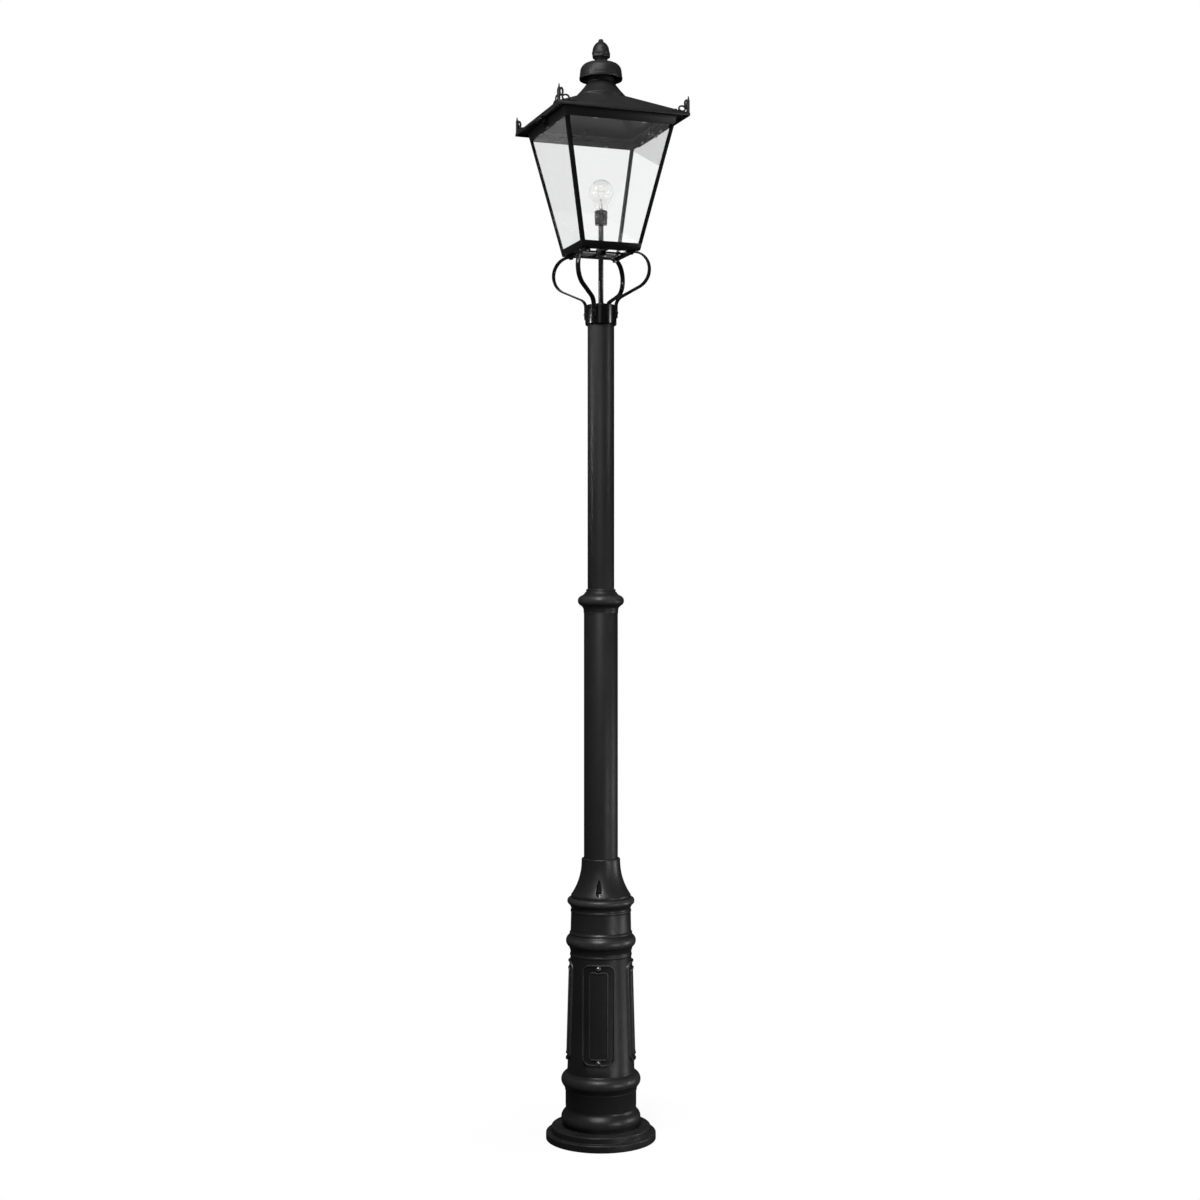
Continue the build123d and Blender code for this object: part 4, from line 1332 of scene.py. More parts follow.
@dataclass
class FrogClamp:
    """Socket cap on the column, the stem through its plate, and the stem's nuts."""

    radius: float = 38.6
    plate: float = 5.0
    stem_radius: float = 6.25
    stem_wall: float = 1.2
    nut_radius: float = 10.5
    nut_height: float = 6.0
    washer: float = 0.5
    grub_hole: float = 3.0
    grub_z: float = 2006.0

    def cap(self) -> Piece:
        """Turn the cap and drill its grub screw holes.

        Returns:
            The cap.
        """
        low, top = low_of("frog_clamp"), top_of("frog_clamp")
        cap = Bench.turned("frog_clamp_cap", [
            (32.9, low), (36.8, low), (38.4, low + 2), (self.radius, low + 6), (self.radius, top - 2.5),
            (self.radius - 2.5, top, 0.7), (self.stem_radius + 0.1, top),
            (self.stem_radius + 0.1, top - self.plate),
            (32.9, top - self.plate)], 0.5, 96)
        for bearing in (60, 120):
            drill = Bench.rod("drill", self.grub_hole, 34, 45)
            Bench.combine(cap, Bench.radial(drill, self.grub_z, bearing))
        return Bench.smooth(cap)

    def nut(self, low: float) -> Piece:
        """Make a chamfered hexagon nut on the stem.

        Args:
            low: Height of its underside.

        Returns:
            The nut.
        """
        r, high = self.nut_radius, low + self.nut_height
        nut = Bench.rod("nut", r, low, high, sides=6)
        ease = Bench.turned("nut_ease", [
            (self.stem_radius, low), (0.84 * r, low), (r, low + 1.1), (r, high - 1.1), (0.84 * r, high),
            (self.stem_radius, high)], 0.0, 48)
        return Bench.smooth(Bench.combine(nut, ease, "INTERSECT"), 20)

    def build(self, shop: PaintShop) -> None:
        """Make and dress the cap, the stem and the nuts.

        Args:
            shop: Dresses the finished pieces.
        """
        shop.dress(self.cap(), Body.POST, Slot.GLOSS, ["frog_clamp"])
        low, top = low_of("stem_tube"), top_of("stem_tube")
        outer, inner = self.stem_radius, self.stem_radius - self.stem_wall
        stem = Bench.turned("stem", [(inner, low), (outer, low), (outer, top), (inner, top)], 0.4, 48)
        shop.dress(stem, Body.POST, Slot.GLOSS, ["stem_tube"])
        plate_top = top_of("frog_clamp")
        lows = (plate_top, plate_top - self.plate - self.washer - self.nut_height, top_of("floor_spider"))
        nuts = Bench.join([self.nut(low) for low in lows], "stem_nuts")
        shop.dress(nuts, Body.POST, Slot.GLOSS, ["stem_lock_nuts"])


@dataclass
class FrogLegs:
    """Four flat bars bent up the clamp, out in a low S, round a loop and in under the lantern."""

    clamp_radius: float = 38.6
    width: float = 11.0
    thick: float = 4.8
    foot_z: float = 2012.0
    low_bend: float = 24.0
    loop: float = 45.0
    loop_centre: float = 85.0
    rise: float = 24.0
    tip: float = 67.0
    bolt_ring: float = 81.5
    hex_radius: float = 5.5
    hex_height: float = 3.6
    nut_height: float = 5.0
    shank_radius: float = 3.0
    end_corner: float = 4.6
    screw_z: float = 2026.0

    def leg(self, name: str) -> Piece:
        """Bend one leg along +X by extruding and spinning its section.

        Args:
            name: Name of the new piece.

        Returns:
            The leg.
        """
        rise = radians(self.rise)
        foot = self.clamp_radius + self.thick / 2
        top = low_of("lantern_bottom_frame") - self.thick / 2
        loop_z = top - self.loop
        loop_in = (self.loop_centre + self.loop * sin(rise), loop_z - self.loop * cos(rise))
        bend_r = foot + self.low_bend * (1 - sin(rise))
        bend_out = loop_in[1] - (loop_in[0] - bend_r) * tan(rise)
        bend_z = bend_out - self.low_bend * cos(rise)
        t, w = self.thick / 2, self.width / 2
        section = [(foot - t, -w), (foot + t, -w), (foot + t, w), (foot - t, w)]
        piece = Bench.draw(name, [(x, y, self.foot_z) for x, y in section], True)
        Bench.fill()
        Bench.extrude((0, 0, bend_z - self.foot_z))
        Bench.spin(12, radians(90) - rise, (foot + self.low_bend, 0, bend_z), (0, -1, 0))
        Bench.extrude((loop_in[0] - bend_r, 0, loop_in[1] - bend_out))
        Bench.spin(28, radians(180) - rise, (self.loop_centre, 0, loop_z), (0, 1, 0))
        Bench.extrude((self.tip - self.loop_centre, 0, 0))
        for at_end in (lambda m: abs(m.z - self.foot_z) < 0.01, lambda m: abs(m.x - self.tip) < 0.01):
            Bench.pick(piece, Element.EDGE, lambda m, at_end=at_end: abs(abs(m.y) - w) < 0.01 and at_end(m))
            bpy.ops.mesh.bevel(offset=self.end_corner * MM, segments=6, affect="EDGES")
        return Bench.bevel(Bench.close_up(), 0.55, 2, 50)

    def foot_screw(self) -> Piece:
        """Turn a domed screw with a socket, on +X.

        Returns:
            The screw.
        """
        face = self.clamp_radius + self.thick
        screw = Bench.turned("foot_screw", [
            (0, face - 6), (2.5, face - 6), (2.5, face), (4.5, face), (2.2, face + 2.6, 0.7),
            (1.7, face + 2.6),
            (1.5, face + 1.2), (0, face + 1.0)], 0.2, 24, False)
        return Bench.radial(screw, self.screw_z, 0)

    def top_bolt(self) -> Piece:
        """Make a bolt with its nut through the lantern's floor flange, on +X.

        Returns:
            The bolt and its nut.
        """
        under = low_of("frog_top_bolts") + self.hex_height
        over = low_of("lantern_bottom_frame") + 2.5
        at = (self.bolt_ring, 0.0)
        pieces = []
        r = self.hex_radius
        for low, high in ((under - self.hex_height, under), (over, over + self.nut_height)):
            body = Bench.rod("hexagon", r, low, high, at, 6)
            ease = Bench.turned("ease", [
                (0, low), (0.86 * r, low), (r, low + 0.7), (r, high - 0.7), (0.86 * r, high), (0, high)],
                0.0, 32, False)
            Bench.placed(ease, Matrix.Translation((self.bolt_ring * MM, 0, 0)))
            pieces.append(Bench.smooth(Bench.combine(body, ease, "INTERSECT"), 20))
        pieces.append(Bench.rod("bolt_shank", self.shank_radius, under, over + 8, at, 20, 0.5))
        return Bench.join(pieces, "top_bolt")

    def build(self, shop: PaintShop) -> None:
        """Make and dress the legs and their fixings.

        Args:
            shop: Dresses the finished pieces.
        """
        first = LANTERN_TURN + 45
        leg = self.leg("frog_leg")
        for place, i in zip("abcd", range(4)):
            twin = Bench.copy(leg, f"bent_leg_{place}", first + 90 * i)
            shop.dress(twin, Body.POST, Slot.GLOSS, [f"frog_leg_{place}"])
        bpy.data.objects.remove(leg)
        screws = Bench.around(self.foot_screw(), 4, "leg_foot_screws", first)
        shop.dress(screws, Body.POST, Slot.GLOSS, ["frog_foot_screws"])
        bolts = Bench.around(self.top_bolt(), 4, "leg_top_bolts", first)
        shop.dress(bolts, Body.POST, Slot.GLOSS, ["frog_top_bolts"])


# ---- lantern -------------------------------------------------------------------------------------

@dataclass
class Lantern:
    """Sloping glazed frame: bottom band with its floor flange, corner angles, and top band."""

    low_half: float = 75.0
    high_half: float = 143.5
    sheet: float = 2.0
    flange: float = 2.5
    floor_width: float = 21.5
    top_width: float = 6.0
    bar_face: float = 10.0
    soffit_to_rail: float = 21.0
    tab_z: float = 2486.0
    tab_half: float = 1.5
    tab_x: float = 118.0

    def half(self, z: float) -> float:
        """Half width of the frame's outer faces at a height."""
        low, high = low_of("lantern_bottom_frame"), self.rail_top()
        return self.low_half + (z - low) * (self.high_half - self.low_half) / (high - low)

    def rail_top(self) -> float:
        """Height of the top band's upper edge, where the roof's soffit stands."""
        return low_of("roof_soffit") + self.soffit_to_rail

    def bottom_band(self) -> Piece:
        """Make the bottom band with its inward flange.

        Returns:
            The band.
        """
        low, top = low_of("lantern_bottom_frame"), top_of("lantern_bottom_frame")
        floor = low + self.flange
        inner = self.low_half - self.floor_width
        return Bench.mitred("bottom_band", [
            (self.half(low), low), (self.half(top), top), (self.half(top) - self.sheet, top),
            (self.half(floor) - self.sheet, floor), (inner, floor), (inner, low)])

    def corner_angle(self, name: str) -> Piece:
        """Make the corner angle that stands at local +X +Y.

        Args:
            name: Name of the new piece.

        Returns:
            The angle.
        """
        low, top = top_of("lantern_bottom_frame"), low_of("lantern_top_frame")
        outer, face, wall = self.half(low), self.half(low) - self.bar_face, self.half(low) - self.sheet
        section = [(outer, outer), (face, outer), (face, wall), (wall, wall), (wall, face), (outer, face)]
        Bench.draw(name, [(x, y, low) for x, y in section], True)
        Bench.fill()
        shift = self.half(top) - outer
        Bench.extrude((shift, shift, top - low))
        return Bench.bevel(Bench.close_up(), 0.45)

    def top_band(self) -> Piece:
        """Make the top band with its narrow flange and the two roof locators inside it.

        Returns:
            The band with its locators.
        """
        low, top = low_of("lantern_top_frame"), self.rail_top()
        under = top - self.flange
        inner = self.high_half - self.sheet - self.top_width
        band = Bench.mitred("top_band", [
            (self.half(low), low), (self.high_half, top), (inner, top), (inner, under),
            (self.half(under) - self.sheet, under), (self.half(low) - self.sheet, low)])
        tabs = []
        across, z = (-self.tab_half, self.tab_half), self.tab_z
        for side in (90, -90):
            foot = Bench.block("tab_foot", (self.tab_x, self.tab_x + 23), across, (z, z + 4.4), 0.4)
            stem = Bench.block("tab_stem", (self.tab_x, self.tab_x + 6), across, (z + 0.2, z + 19), 0.6)
            tabs += [Bench.turn(foot, LANTERN_TURN + side), Bench.turn(stem, LANTERN_TURN + side)]
        return Bench.join([band] + tabs, "top_band")

    def spider(self) -> Piece:
        """Make the cross in the floor with its boss on the stem.

        Returns:
            The cross.
        """
        low = low_of("lantern_bottom_frame") + self.flange
        arms = [Bench.turn(Bench.block("arm", (13, 62), (-6, 6), (low, low + 3), 0.5), LANTERN_TURN + 90 * i)
                for i in range(4)]
        boss = Bench.turned("boss", [
            (6.35, 2170), (12, 2170), (13, 2171), (13, 2183), (12, 2184), (6.35, 2184)], 0.3, 48)
        return Bench.join([boss] + arms, "floor_cross")

    def build(self, shop: PaintShop) -> None:
        """Make and dress the frame's pieces.

        Args:
            shop: Dresses the finished pieces.
        """
        shop.dress(self.bottom_band(), Body.POST, Slot.GLOSS, ["lantern_bottom_frame"])
        angles = Bench.around(self.corner_angle("corner_angle"), 4, "corner_angles", LANTERN_TURN)
        shop.dress(angles, Body.POST, Slot.GLOSS, ["corner_bars"])
        shop.dress(self.top_band(), Body.POST, Slot.TUBE, ["lantern_top_frame"])
        shop.dress(self.spider(), Body.POST, Slot.GLOSS, ["floor_spider"])


@dataclass
class Roof:
    """Sheet roof with a folded rim, the soffit under it, the throat cone, the cowl and the finial."""

    eave_half: float = 168.0
    eave_low: float = 2487.0
    eave_top: float = 2494.0
    rise: float = 84.0
    sheet: float = 1.8
    cut_half: float = 45.0
    throat: float = 30.0
    soffit_inner: float = 126.0
    leaves: int = 5
    leaf_low: float = 3.0
    leaf_high: float = 24.0
    leaf_press: float = 0.1

    def height(self, half: float, foot_half: float, foot: float) -> float:
        """Height of a sloping face where its half width is half."""
        return foot + self.rise * (foot_half - half) / self.eave_half

    def shell(self) -> Piece:
        """Make the pyramid with its rim and cut the throat.

        Returns:
            The sheet.
        """
        inner = self.eave_half - self.sheet
        top = self.height(self.cut_half, self.eave_half, self.eave_top)
        under = self.height(self.cut_half, inner, self.eave_top - self.sheet)
        shell = Bench.mitred("roof_sheet", [
            (inner, self.eave_low), (self.eave_half, self.eave_low), (self.eave_half, self.eave_top),
            (self.cut_half, top), (20, top), (20, under), (self.cut_half, under),
            (inner, self.eave_top - self.sheet)], 0.7)
        Bench.combine(shell, Bench.rod("throat", self.throat, under - 5, top + 5, sides=64))
        return Bench.smooth(shell, 25)

    def soffit(self) -> Piece:
        """Make the flat frame under the eaves with the catch's slotted tongue.

        Returns:
            The frame with its tongue.
        """
        low = self.eave_low + 6.3
        top = low + 2
        inner = self.eave_half - self.sheet
        foot = self.eave_top - self.sheet
        edges = [inner - (z - foot) * self.eave_half / self.rise - 0.1 for z in (low, top)]
        border = Bench.mitred("soffit_frame", [
            (self.soffit_inner, low), (edges[0], low), (edges[1], top), (self.soffit_inner, top)], 0.3)
        tongue = Bench.block("tongue", (127.5, 130), (-7, 7), (2472, top - 0.2), 0.4)
        Bench.combine(tongue, Bench.block("slot", (120, 135), (-3.2, 3.2), (2465, 2481.5)))
        return Bench.join([border, Bench.turn(tongue, LANTERN_TURN)], "soffit_frame")

    def skirt(self) -> Piece:
        """Turn the throat cone and fit its foot to the roof's slopes.

        Returns:
            The cone.
        """
        skirt = Bench.turned("throat_cone", [
            (59.2, 2535), (61, 2535), (61, 2558), (60, 2560.5, 0.4), (35.5, 2590, -0.8), (33, 2594, -0.6),
            (33, 2614),
            (31.2, 2614), (31.2, 2594), (33.6, 2589.5), (59.2, 2558.5)], 0.4, 96)
        base = self.eave_top - 0.1
        top = self.height(self.cut_half, self.eave_half, base)
        section = ((0, base), (self.eave_half, base), (self.cut_half, top), (0, top))
        slope = Bench.draw("slope", [(h, h, z) for h, z in section], False)
        Bench.spin(4)
        Bench.close_up()
        Bench.turn(slope, LANTERN_TURN)
        return Bench.smooth(Bench.combine(skirt, slope))

    def cowl(self) -> Piece:
        """Turn the domed cowl with its rolled rim.

        Returns:
            The cowl.
        """
        low = low_of("cowl")
        return Bench.turned("rain_cowl", [
            (51.2, low), (53, low), (53.2, low + 5), (52, low + 7, 0.4), (51.2, low + 18, 0.4),
            (26, low + 39.5, 8.2),
            (13, low + 42.5, 0.4), (0, low + 42.5), (0, low + 40.5), (25, low + 37.6), (42, low + 30.5),
            (49.3, low + 17), (50, low + 7)], 0.5, 96)

    def finial(self) -> Piece:
        """Turn the acorn and press its cup into leaves.

        Returns:
            The acorn.
        """
        low, top = low_of("finial"), top_of("finial")
        acorn = Bench.turned("acorn_finial", [
            (0, low), (12.5, low), (13.5, low + 2.9, 0.4), (22.2, low + 11.9, -1.2), (22.6, low + 17.4, 0.5),
            (20.8, low + 27.4, 0.9), (8.4, low + 49.9, 3.4), (6, low + 51.9, -0.3),
            (3, top - 1, 1.6), (1.2, top), (0, top)], 0.4, 96, False)
        for vertex in acorn.data.vertices:
            z = vertex.co.z / MM - low
            if self.leaf_low < z < self.leaf_high:
                bearing = atan2(vertex.co.y, vertex.co.x)
                swell = sin(pi * (z - self.leaf_low) / (self.leaf_high - self.leaf_low))
                press = self.leaf_press * swell * abs(sin(self.leaves * bearing / 2)) ** 1.5
                vertex.co.x *= 1 - press
                vertex.co.y *= 1 - press
        return Bench.smooth(acorn, 28)

    def build(self, shop: PaintShop) -> None:
        """Make and dress the roof's pieces.

        Args:
            shop: Dresses the finished pieces.
        """
        shop.dress(self.shell(), Body.ROOF, Slot.TUBE, ["roof_shell"])
        shop.dress(self.soffit(), Body.ROOF, Slot.TUBE, ["roof_soffit"])
        shop.dress(self.skirt(), Body.ROOF, Slot.TUBE, ["roof_skirt"])
        shop.dress(self.cowl(), Body.ROOF, Slot.TUBE, ["cowl"])
        shop.dress(self.finial(), Body.ROOF, Slot.TUBE, ["finial"])


@dataclass
class CornerOrnament:
    """Openwork cresting on each corner of the eaves: a spike and a pierced wing along each side."""

    roof: Roof
    setback: float = 3.7
    thick: float = 1.6
    bar_width: float = 4.0

    def ring(self, x: float, z: float, half_width: float, half_height: float) -> Piece:
        """Make an oval ring that stands in the wing's plane, its middle at x and z.

        Args:
            x: Where its middle stands along the wing.
            z: Height of its middle.
            half_width: Half its width.
            half_height: Half its height.

        Returns:
            The ring.
        """
        turns = [2 * pi * i / 36 for i in range(36)]
        oval = [(x + half_width * cos(t), self.thick, z + half_height * sin(t)) for t in turns]
        Bench.draw("oval", oval, True)
        Bench.fill()
        bpy.ops.mesh.inset(thickness=self.bar_width * MM)
        bpy.ops.mesh.delete(type="FACE")
        bpy.ops.mesh.select_all(action="SELECT")
        Bench.extrude((0, -2 * self.thick, 0))
        return Bench.bevel(Bench.close_up(), 0.9, 3, 60)

    def bar(self, x: float, z: float, length: float, slope: float) -> Piece:
        """Make a rounded link in the wing's plane.

        Args:
            x: Where its middle stands along the wing.
            z: Height of its middle.
            length: Its length.
            slope: How far it rises, in degrees.

        Returns:
            The link.
        """
        end = length / 2
        bar = Bench.turned("link",
                           [(0, -end), (1.7, -end, 0.3), (2.0, 0, 0.1), (1.7, end, 0.1), (0, end, 0.3)],
                           0.0, 12, False)
        lay = Matrix.Rotation(radians(90 - slope), 4, "Y")
        return Bench.placed(bar, Matrix.Translation((x * MM, 0, z * MM)) @ lay)

    def bead(self, x: float, z: float, radius: float) -> Piece:
        """Make the wing's small round bead.

        Args:
            x: Where its middle stands along the wing.
            z: Height of its middle.
            radius: Its radius.

        Returns:
            The bead.
        """
        Bench.clear()
        bpy.ops.mesh.primitive_uv_sphere_add(segments=20, ring_count=12, radius=radius * MM)
        place = Matrix.Translation((x * MM, 0, z * MM))
        return Bench.placed(bpy.context.object, place @ Matrix.Diagonal((1, 0.7, 1, 1)))

    def wing(self) -> Piece:
        """Join one wing, which runs along +X from the spike.

        Returns:
            The wing.
        """
        parts = [self.ring(5.5, 22, 5.8, 10.5), self.ring(16.5, 9.4, 10.2, 8.2), self.bar(28, 3.6, 8.5, -20),
                 self.bead(32.6, 4.9, 3.4), self.bar(37.0, 3.4, 8.0, -14)]
        return Bench.join(parts, "wing")

    def build(self, shop: PaintShop) -> None:
        """Make one ornament, copy it to the four corners and dress them.

        Args:
            shop: Dresses the finished pieces.
        """
        spike = Bench.turned("spike", [
            (0, 0.1), (3.6, 0.1), (3.4, 6, -0.2), (3.1, 12), (3.2, 30, 0.1), (2.2, 33, 0.3), (1.2, 40),
            (0.5, 40.9),
            (0, 40.9)], 0.2, 16, False)
        along = self.wing()
        across = Bench.copy(along, "wing_across", 90)
        ornament = Bench.join([spike, along, across], "corner_cresting")
        Bench.smooth(ornament, 50)
        corner = (self.roof.eave_half - self.setback) * MM
        place = Matrix.Translation((corner, corner, self.roof.eave_top * MM)) @ Matrix.Rotation(pi, 4, "Z")
        Bench.placed(ornament, place)
        for i, letter in enumerate("abcd"):
            twin = Bench.copy(ornament, f"cresting_{letter}", LANTERN_TURN + 90 * i)
            shop.dress(twin, Body.ROOF, Slot.TUBE, [f"corner_ornament_{letter}"])
        bpy.data.objects.remove(ornament)


# ---- lamp ----------------------------------------------------------------------------------------

@dataclass
class Lamp:
    """Lampholder on its yoke, and the clear lamp: envelope, screw cap and inner mount."""

    holder_radius: float = 16.0
    bulb_radius: float = 30.0
    bulb_centre: float = 2326.0
    wall: float = 0.6
    cap_radius: float = 13.2
    ribs: int = 24
    thread_pitch: float = 3.4
    wire_rise: float = 24.0
    filament_half: float = 10.5
    filament_z: float = 2330.0
    filament_sag: float = 3.2
    coil_radius: float = 0.7
    coil_turns: int = 14

    def on_rib(self, middle: Vector) -> bool:
        """Say whether a face of the holder lies on one of its grip ribs.

        Args:
            middle: The face's middle in millimetres.

        Returns:
            Whether it lies on a rib.
        """
        height = middle.z - low_of("lampholder_body")
        strip = int(atan2(middle.y, middle.x) / pi * self.ribs + self.ribs)
        return hypot(middle.x, middle.y) > 14.3 and 3 < height < 13 and strip % 2 == 0

    def holder(self) -> Piece:
        """Turn the holder and raise its grip ribs.

        Returns:
            The holder.
        """
        low, top = low_of("lampholder_body"), top_of("lampholder_body")
        r = self.holder_radius
        holder = Bench.turned("lamp_holder", [
            (6.35, low), (13.6, low), (14.6, low + 2), (14.6, low + 14), (15.4, low + 15), (r, low + 16.5),
            (r, low + 24),
            (r - 0.7, low + 24.6), (r - 0.7, low + 26), (r, low + 26.6), (r, top - 1), (r - 1, top),
            (13.7, top),
            (13.7, low + 5), (6.35, low + 5)], 0.35, 48)
        Bench.take(holder)
        bpy.ops.object.mode_set(mode="EDIT")
        Bench.pick(holder, Element.FACE, self.on_rib)
        bpy.ops.mesh.inset(thickness=0.15 * MM, depth=0.5 * MM, use_individual=True)
        return Bench.smooth(Bench.close_up())

    def yoke(self) -> Piece:
        """Spin the half-round strap under the holder and drill it for the stem.

        Returns:
            The yoke.
        """
        low = low_of("lampholder_body")
        section = [(11.2, -8), (14, -8), (14, 8), (11.2, 8)]
        Bench.draw("holder_yoke", [(x, y, low) for x, y in section], True)
        Bench.fill()
        Bench.spin(24, pi, (0, 0, low), (0, 1, 0))
        yoke = Bench.close_up()
        Bench.combine(yoke, Bench.rod("drill", 6.35, low - 20, low - 5))
        return Bench.bevel(yoke, 0.4, 2, 35)

    def pear(self, inset: float) -> list[Station]:
        """Draw one side of the glass, set in from its outer face.

        Args:
            inset: How far in from the outer face.

        Returns:
            The stations from the mouth to the crown.
        """
        radius, centre = self.bulb_radius - inset, self.bulb_centre
        return [(13 - inset, low_of("bulb_glass")), (15.6 - inset, 2288), (26.6 - inset, 2312, -1.6),
                (radius, centre, 1.2),
                (radius * sin(radians(45)), centre + radius * cos(radians(45)), radius * 0.0761),
                (0, centre + radius, radius * 0.0761)]

    def envelope(self) -> Piece:
        """Turn the pear-shaped glass with its wall.

        Returns:
            The glass.
        """
        outer = outline(self.pear(0), 0.0, False, 10)
        inner = outline(self.pear(self.wall), 0.0, False, 10)
        Bench.draw("lamp_envelope", [(p.x, 0, p.y) for p in outer[::-1] + inner], False)
        Bench.spin(72)
        return Bench.smooth(Bench.close_up(), 50)

    def cap(self) -> Piece:
        """Turn the cap with its rolled thread and insulated foot.

        Returns:
            The cap.
        """
        low, top = low_of("bulb_cap"), top_of("bulb_cap")
        r, pitch = self.cap_radius, self.thread_pitch
        foot = [(0, low), (4.5, low), (5, low + 0.8), (9, low + 4), (12, low + 5.5)]
        thread: list[Station] = []
        for i in range(5):
            z = low + 7 + pitch * i
            thread += [(r - 0.9, z), (r, z + pitch / 2, 0.25), (r - 0.9, z + pitch, 0.25)]
        mouth = [(12.4, top - 1), (12.2, top), (0, top)]
        return Bench.turned("lamp_cap", foot + thread + mouth, 0.25, 48, False)

    def mount(self) -> Piece:
        """Join the glass stem, the support wires and the looped filament.

        Returns:
            The mount.
        """
        low = low_of("bulb_mount")
        stem = Bench.turned("mount_stem", [
            (0, low), (7, low), (3.5, 2292, -0.8), (2.2, 2306), (2.8, 2308), (0, 2309)], 0.2, 24, False)
        foot = Matrix.Translation((0, 0, (self.filament_z - self.wire_rise) * MM))
        wires = []
        for reach in (-self.filament_half, self.filament_half):
            wire = Bench.rod("wire", 0.35, 0, hypot(reach, self.wire_rise), sides=8)
            wires.append(Bench.placed(wire, foot @ Matrix.Rotation(atan2(reach, self.wire_rise), 4, "Y")))
        coil = []
        steps = self.coil_turns * 8
        for i in range(steps + 1):
            t = i / steps
            angle = 2 * pi * self.coil_turns * t
            z = self.filament_z - self.filament_sag * sin(pi * t)
            coil.append((self.filament_half * (2 * t - 1), self.coil_radius * cos(angle),
                         z + self.coil_radius * sin(angle)))
        Bench.draw("filament", coil, False)
        bpy.ops.object.mode_set(mode="OBJECT")
        filament = bpy.context.object
        bpy.ops.object.modifier_add(type="SKIN")
        for point in filament.data.skin_vertices[0].data:
            point.radius = (0.16 * MM, 0.16 * MM)
        bpy.ops.object.modifier_apply(modifier=filament.modifiers[-1].name)
        return Bench.join([stem] + wires + [filament], "lamp_mount")

    def build(self, shop: PaintShop) -> None:
        """Make and dress the lamp's pieces.

        Args:
            shop: Dresses the finished pieces.
        """
        shop.dress(self.holder(), Body.POST, Slot.HOLDER, ["lampholder_body"])
        shop.dress(self.yoke(), Body.POST, Slot.GLOSS, ["lampholder_yoke"])
        shop.dress(self.envelope(), Body.BULB, Slot.BULB_GLASS, ["bulb_glass"])
        shop.dress(self.cap(), Body.BULB, Slot.BULB_METAL, ["bulb_cap"])
        shop.dress(self.mount(), Body.BULB, Slot.BULB_METAL, ["bulb_mount"])


# ---- studio --------------------------------------------------------------------------------------

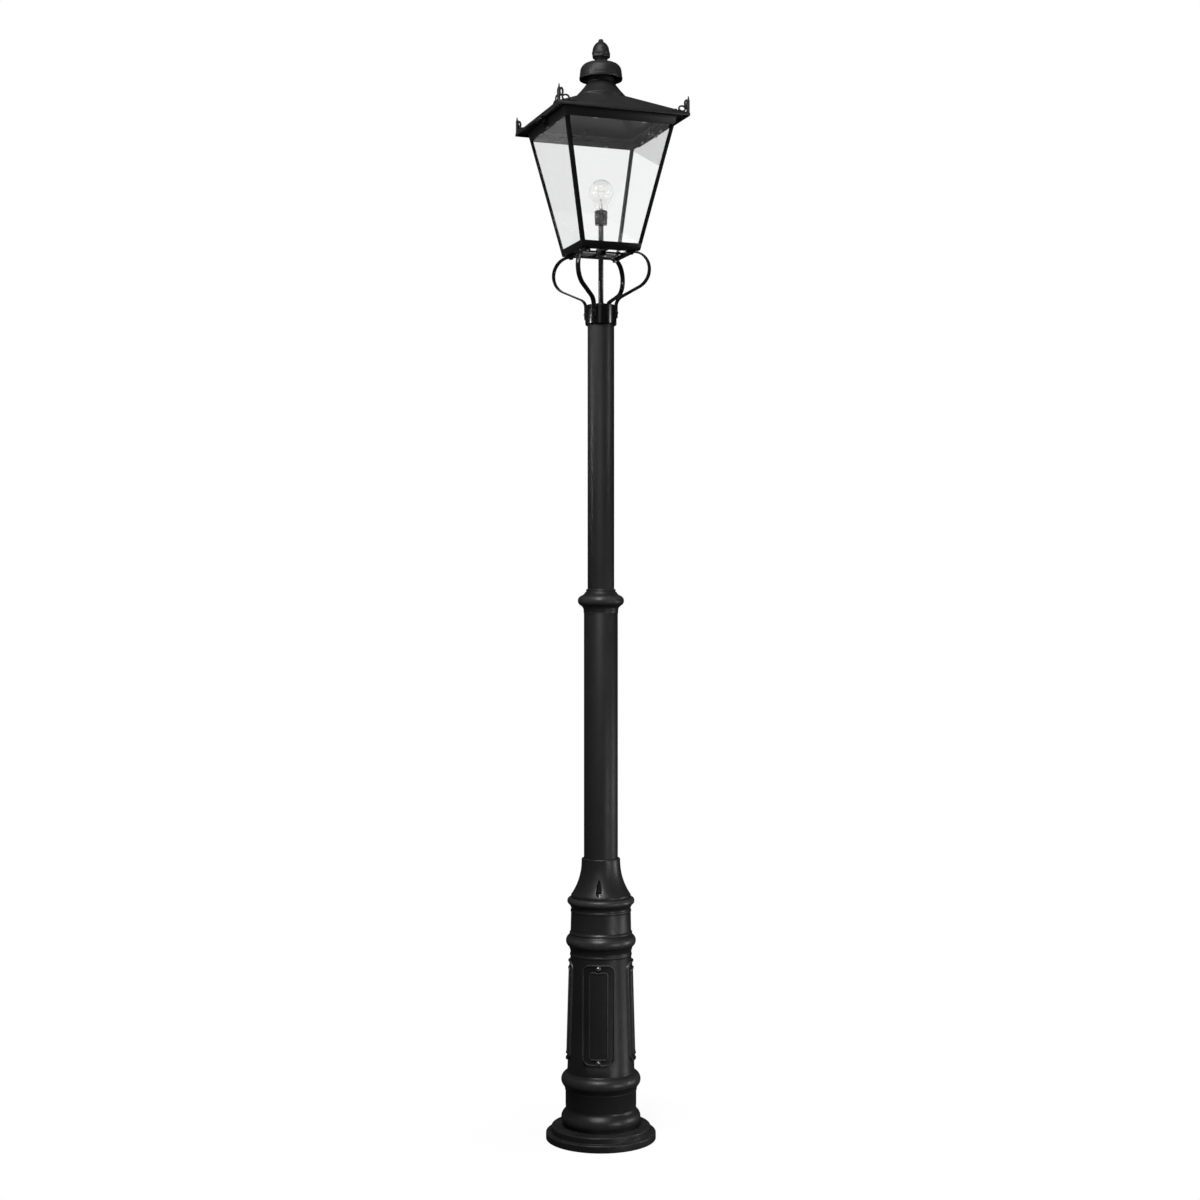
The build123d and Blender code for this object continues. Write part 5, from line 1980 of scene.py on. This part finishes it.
@dataclass
class Studio:
    """Glowing white floor with painted shade round the post, white surroundings, soft lamps and the camera."""

    camera_place: Point = (357.0, -4537.0, 1322.0)
    aim_x: float = -2.2
    lens: float = 55.5
    floor_radius: float = 3200.0
    floor_drop: float = 0.2
    dim_world: float = 0.03

    def floor(self) -> None:
        """Lay the floor, which glows white, with its glow dimmed round the post as painted shade."""
        Bench.clear()
        bpy.ops.mesh.primitive_circle_add(vertices=96, radius=self.floor_radius * MM, fill_type="NGON")
        floor = bpy.context.object
        floor.name = "studio_floor"
        Bench.placed(floor, Matrix.Translation((0, 0, -self.floor_drop * MM)))
        shader = Shader("studio_floor")
        place = shader.nodes.new("ShaderNodeVectorMath")
        place.operation = "LENGTH"
        shader.links.new(shader.coords, place.inputs[0])
        away = shader.span(place.outputs["Value"], (0.14, 0.45), (0, 1))
        shader.feed("Base Color", shader.blend(away, (0.2, 0.2, 0.2), (0.0, 0.0, 0.0)))
        # Painted shade: the floor's glow is dimmed round the post's foot, and the grey middle also takes the
        # lamps' real shadow.
        shader.feed("Emission Strength", shader.span(place.outputs["Value"], (0.14, 0.45), (0.9, 1.0)))
        shader.fix(Roughness=0.9, Specular_IOR_Level=0.0, Emission_Color=(1, 1, 1, 1))
        floor.data.materials.append(shader.material)
        floor.visible_glossy = False
        floor.visible_diffuse = False

    def surroundings(self) -> None:
        """Show a white world to the eye and a dim one to the light."""
        world = bpy.data.worlds.new("studio")
        bpy.context.scene.world = world
        world.use_nodes = True
        nodes, links = world.node_tree.nodes, world.node_tree.links
        path = nodes.new("ShaderNodeLightPath")
        seen = nodes.new("ShaderNodeMath")
        seen.operation = "MAXIMUM"
        links.new(path.outputs["Is Camera Ray"], seen.inputs[0])
        links.new(path.outputs["Is Transmission Ray"], seen.inputs[1])
        tone = nodes.new("ShaderNodeMapRange")
        tone.inputs["To Min"].default_value = self.dim_world
        tone.inputs["To Max"].default_value = 1.0
        links.new(seen.outputs[0], tone.inputs["Value"])
        links.new(tone.outputs["Result"], nodes["Background"].inputs["Strength"])
        nodes["Background"].inputs["Color"].default_value = (1, 1, 1, 1)

    def lamp(self, name: str, place: Point, aim: Point, size: Station, power: float,
             spread: float = 180) -> None:
        """Hang a soft lamp.

        Args:
            name: Its name.
            place: Where it hangs.
            aim: The point it faces.
            size: Its width and height.
            power: Its power in watts.
            spread: Angle of its beam in degrees.
        """
        light = bpy.data.lights.new(name, "AREA")
        light.spread = radians(spread)
        light.shape = "RECTANGLE"
        light.size, light.size_y = size[0] * MM, size[1] * MM
        light.energy = power
        holder = bpy.data.objects.new(name, light)
        bpy.context.scene.collection.objects.link(holder)
        start, end = Vector(place) * MM, Vector(aim) * MM
        holder.location = start
        holder.rotation_euler = (end - start).to_track_quat("-Z", "Y").to_euler()
        holder.visible_camera = False

    def camera(self) -> None:
        """Stand the camera level, facing the post's axis."""
        data = bpy.data.cameras.new("camera")
        data.lens = self.lens
        data.clip_end = 50
        eye = bpy.data.objects.new("camera", data)
        bpy.context.scene.collection.objects.link(eye)
        place = Vector(self.camera_place) * MM
        aim = Vector((self.aim_x * MM, 0, place.z))
        eye.location = place
        eye.rotation_euler = (aim - place).to_track_quat("-Z", "Y").to_euler()
        bpy.context.scene.camera = eye

    def build(self) -> None:
        """Set up the whole studio."""
        self.floor()
        self.surroundings()
        self.lamp("front_box", (-150, -1900, 1900), (0, 0, 1700), (500, 1500), 1.6)
        self.lamp("low_front_box", (-100, -1500, 2300), (0, 0, 350), (500, 500), 3.2, 70)
        self.lamp("right_strip", (2300, 300, 450), (0, 0, 300), (350, 800), 2.6, 90)
        self.lamp("right_front_strip", (1900, -1500, 350), (0, 0, 250), (400, 700), 1.5, 70)
        self.lamp("right_high_strip", (2200, -500, 2300), (0, 0, 2300), (350, 700), 1.0, 50)
        self.lamp("left_high_strip", (-2200, -500, 2050), (0, 0, 2050), (300, 500), 0.5, 30)
        self.lamp("left_front_box", (-1500, -1500, 3300), (0, 0, 2600), (500, 500), 1.9, 60)
        self.lamp("top_box", (-300, -1500, 4200), (0, 0, 2300), (1600, 1600), 36)
        self.camera()
        bpy.context.scene.view_settings.view_transform = "Standard"


def main() -> None:
    """Build every piece in order and report each one."""
    logging.basicConfig(level=logging.INFO, format="%(message)s")
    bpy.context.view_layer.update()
    shop = PaintShop()
    shop.dress_frame()
    drum, panel = Drum(), BeadedPanel()
    pedestal = Pedestal(drum, panel)
    roof = Roof()
    sub_assemblies = [FootFlange(), pedestal, ServiceDoor(drum, panel, pedestal), Neck(), Column(),
                      FrogClamp(),
                      FrogLegs(), Lantern(), roof, CornerOrnament(roof), Lamp()]
    for sub_assembly in sub_assemblies:
        sub_assembly.build(shop)
    Studio().build()


if __name__ == "__main__":
    main()
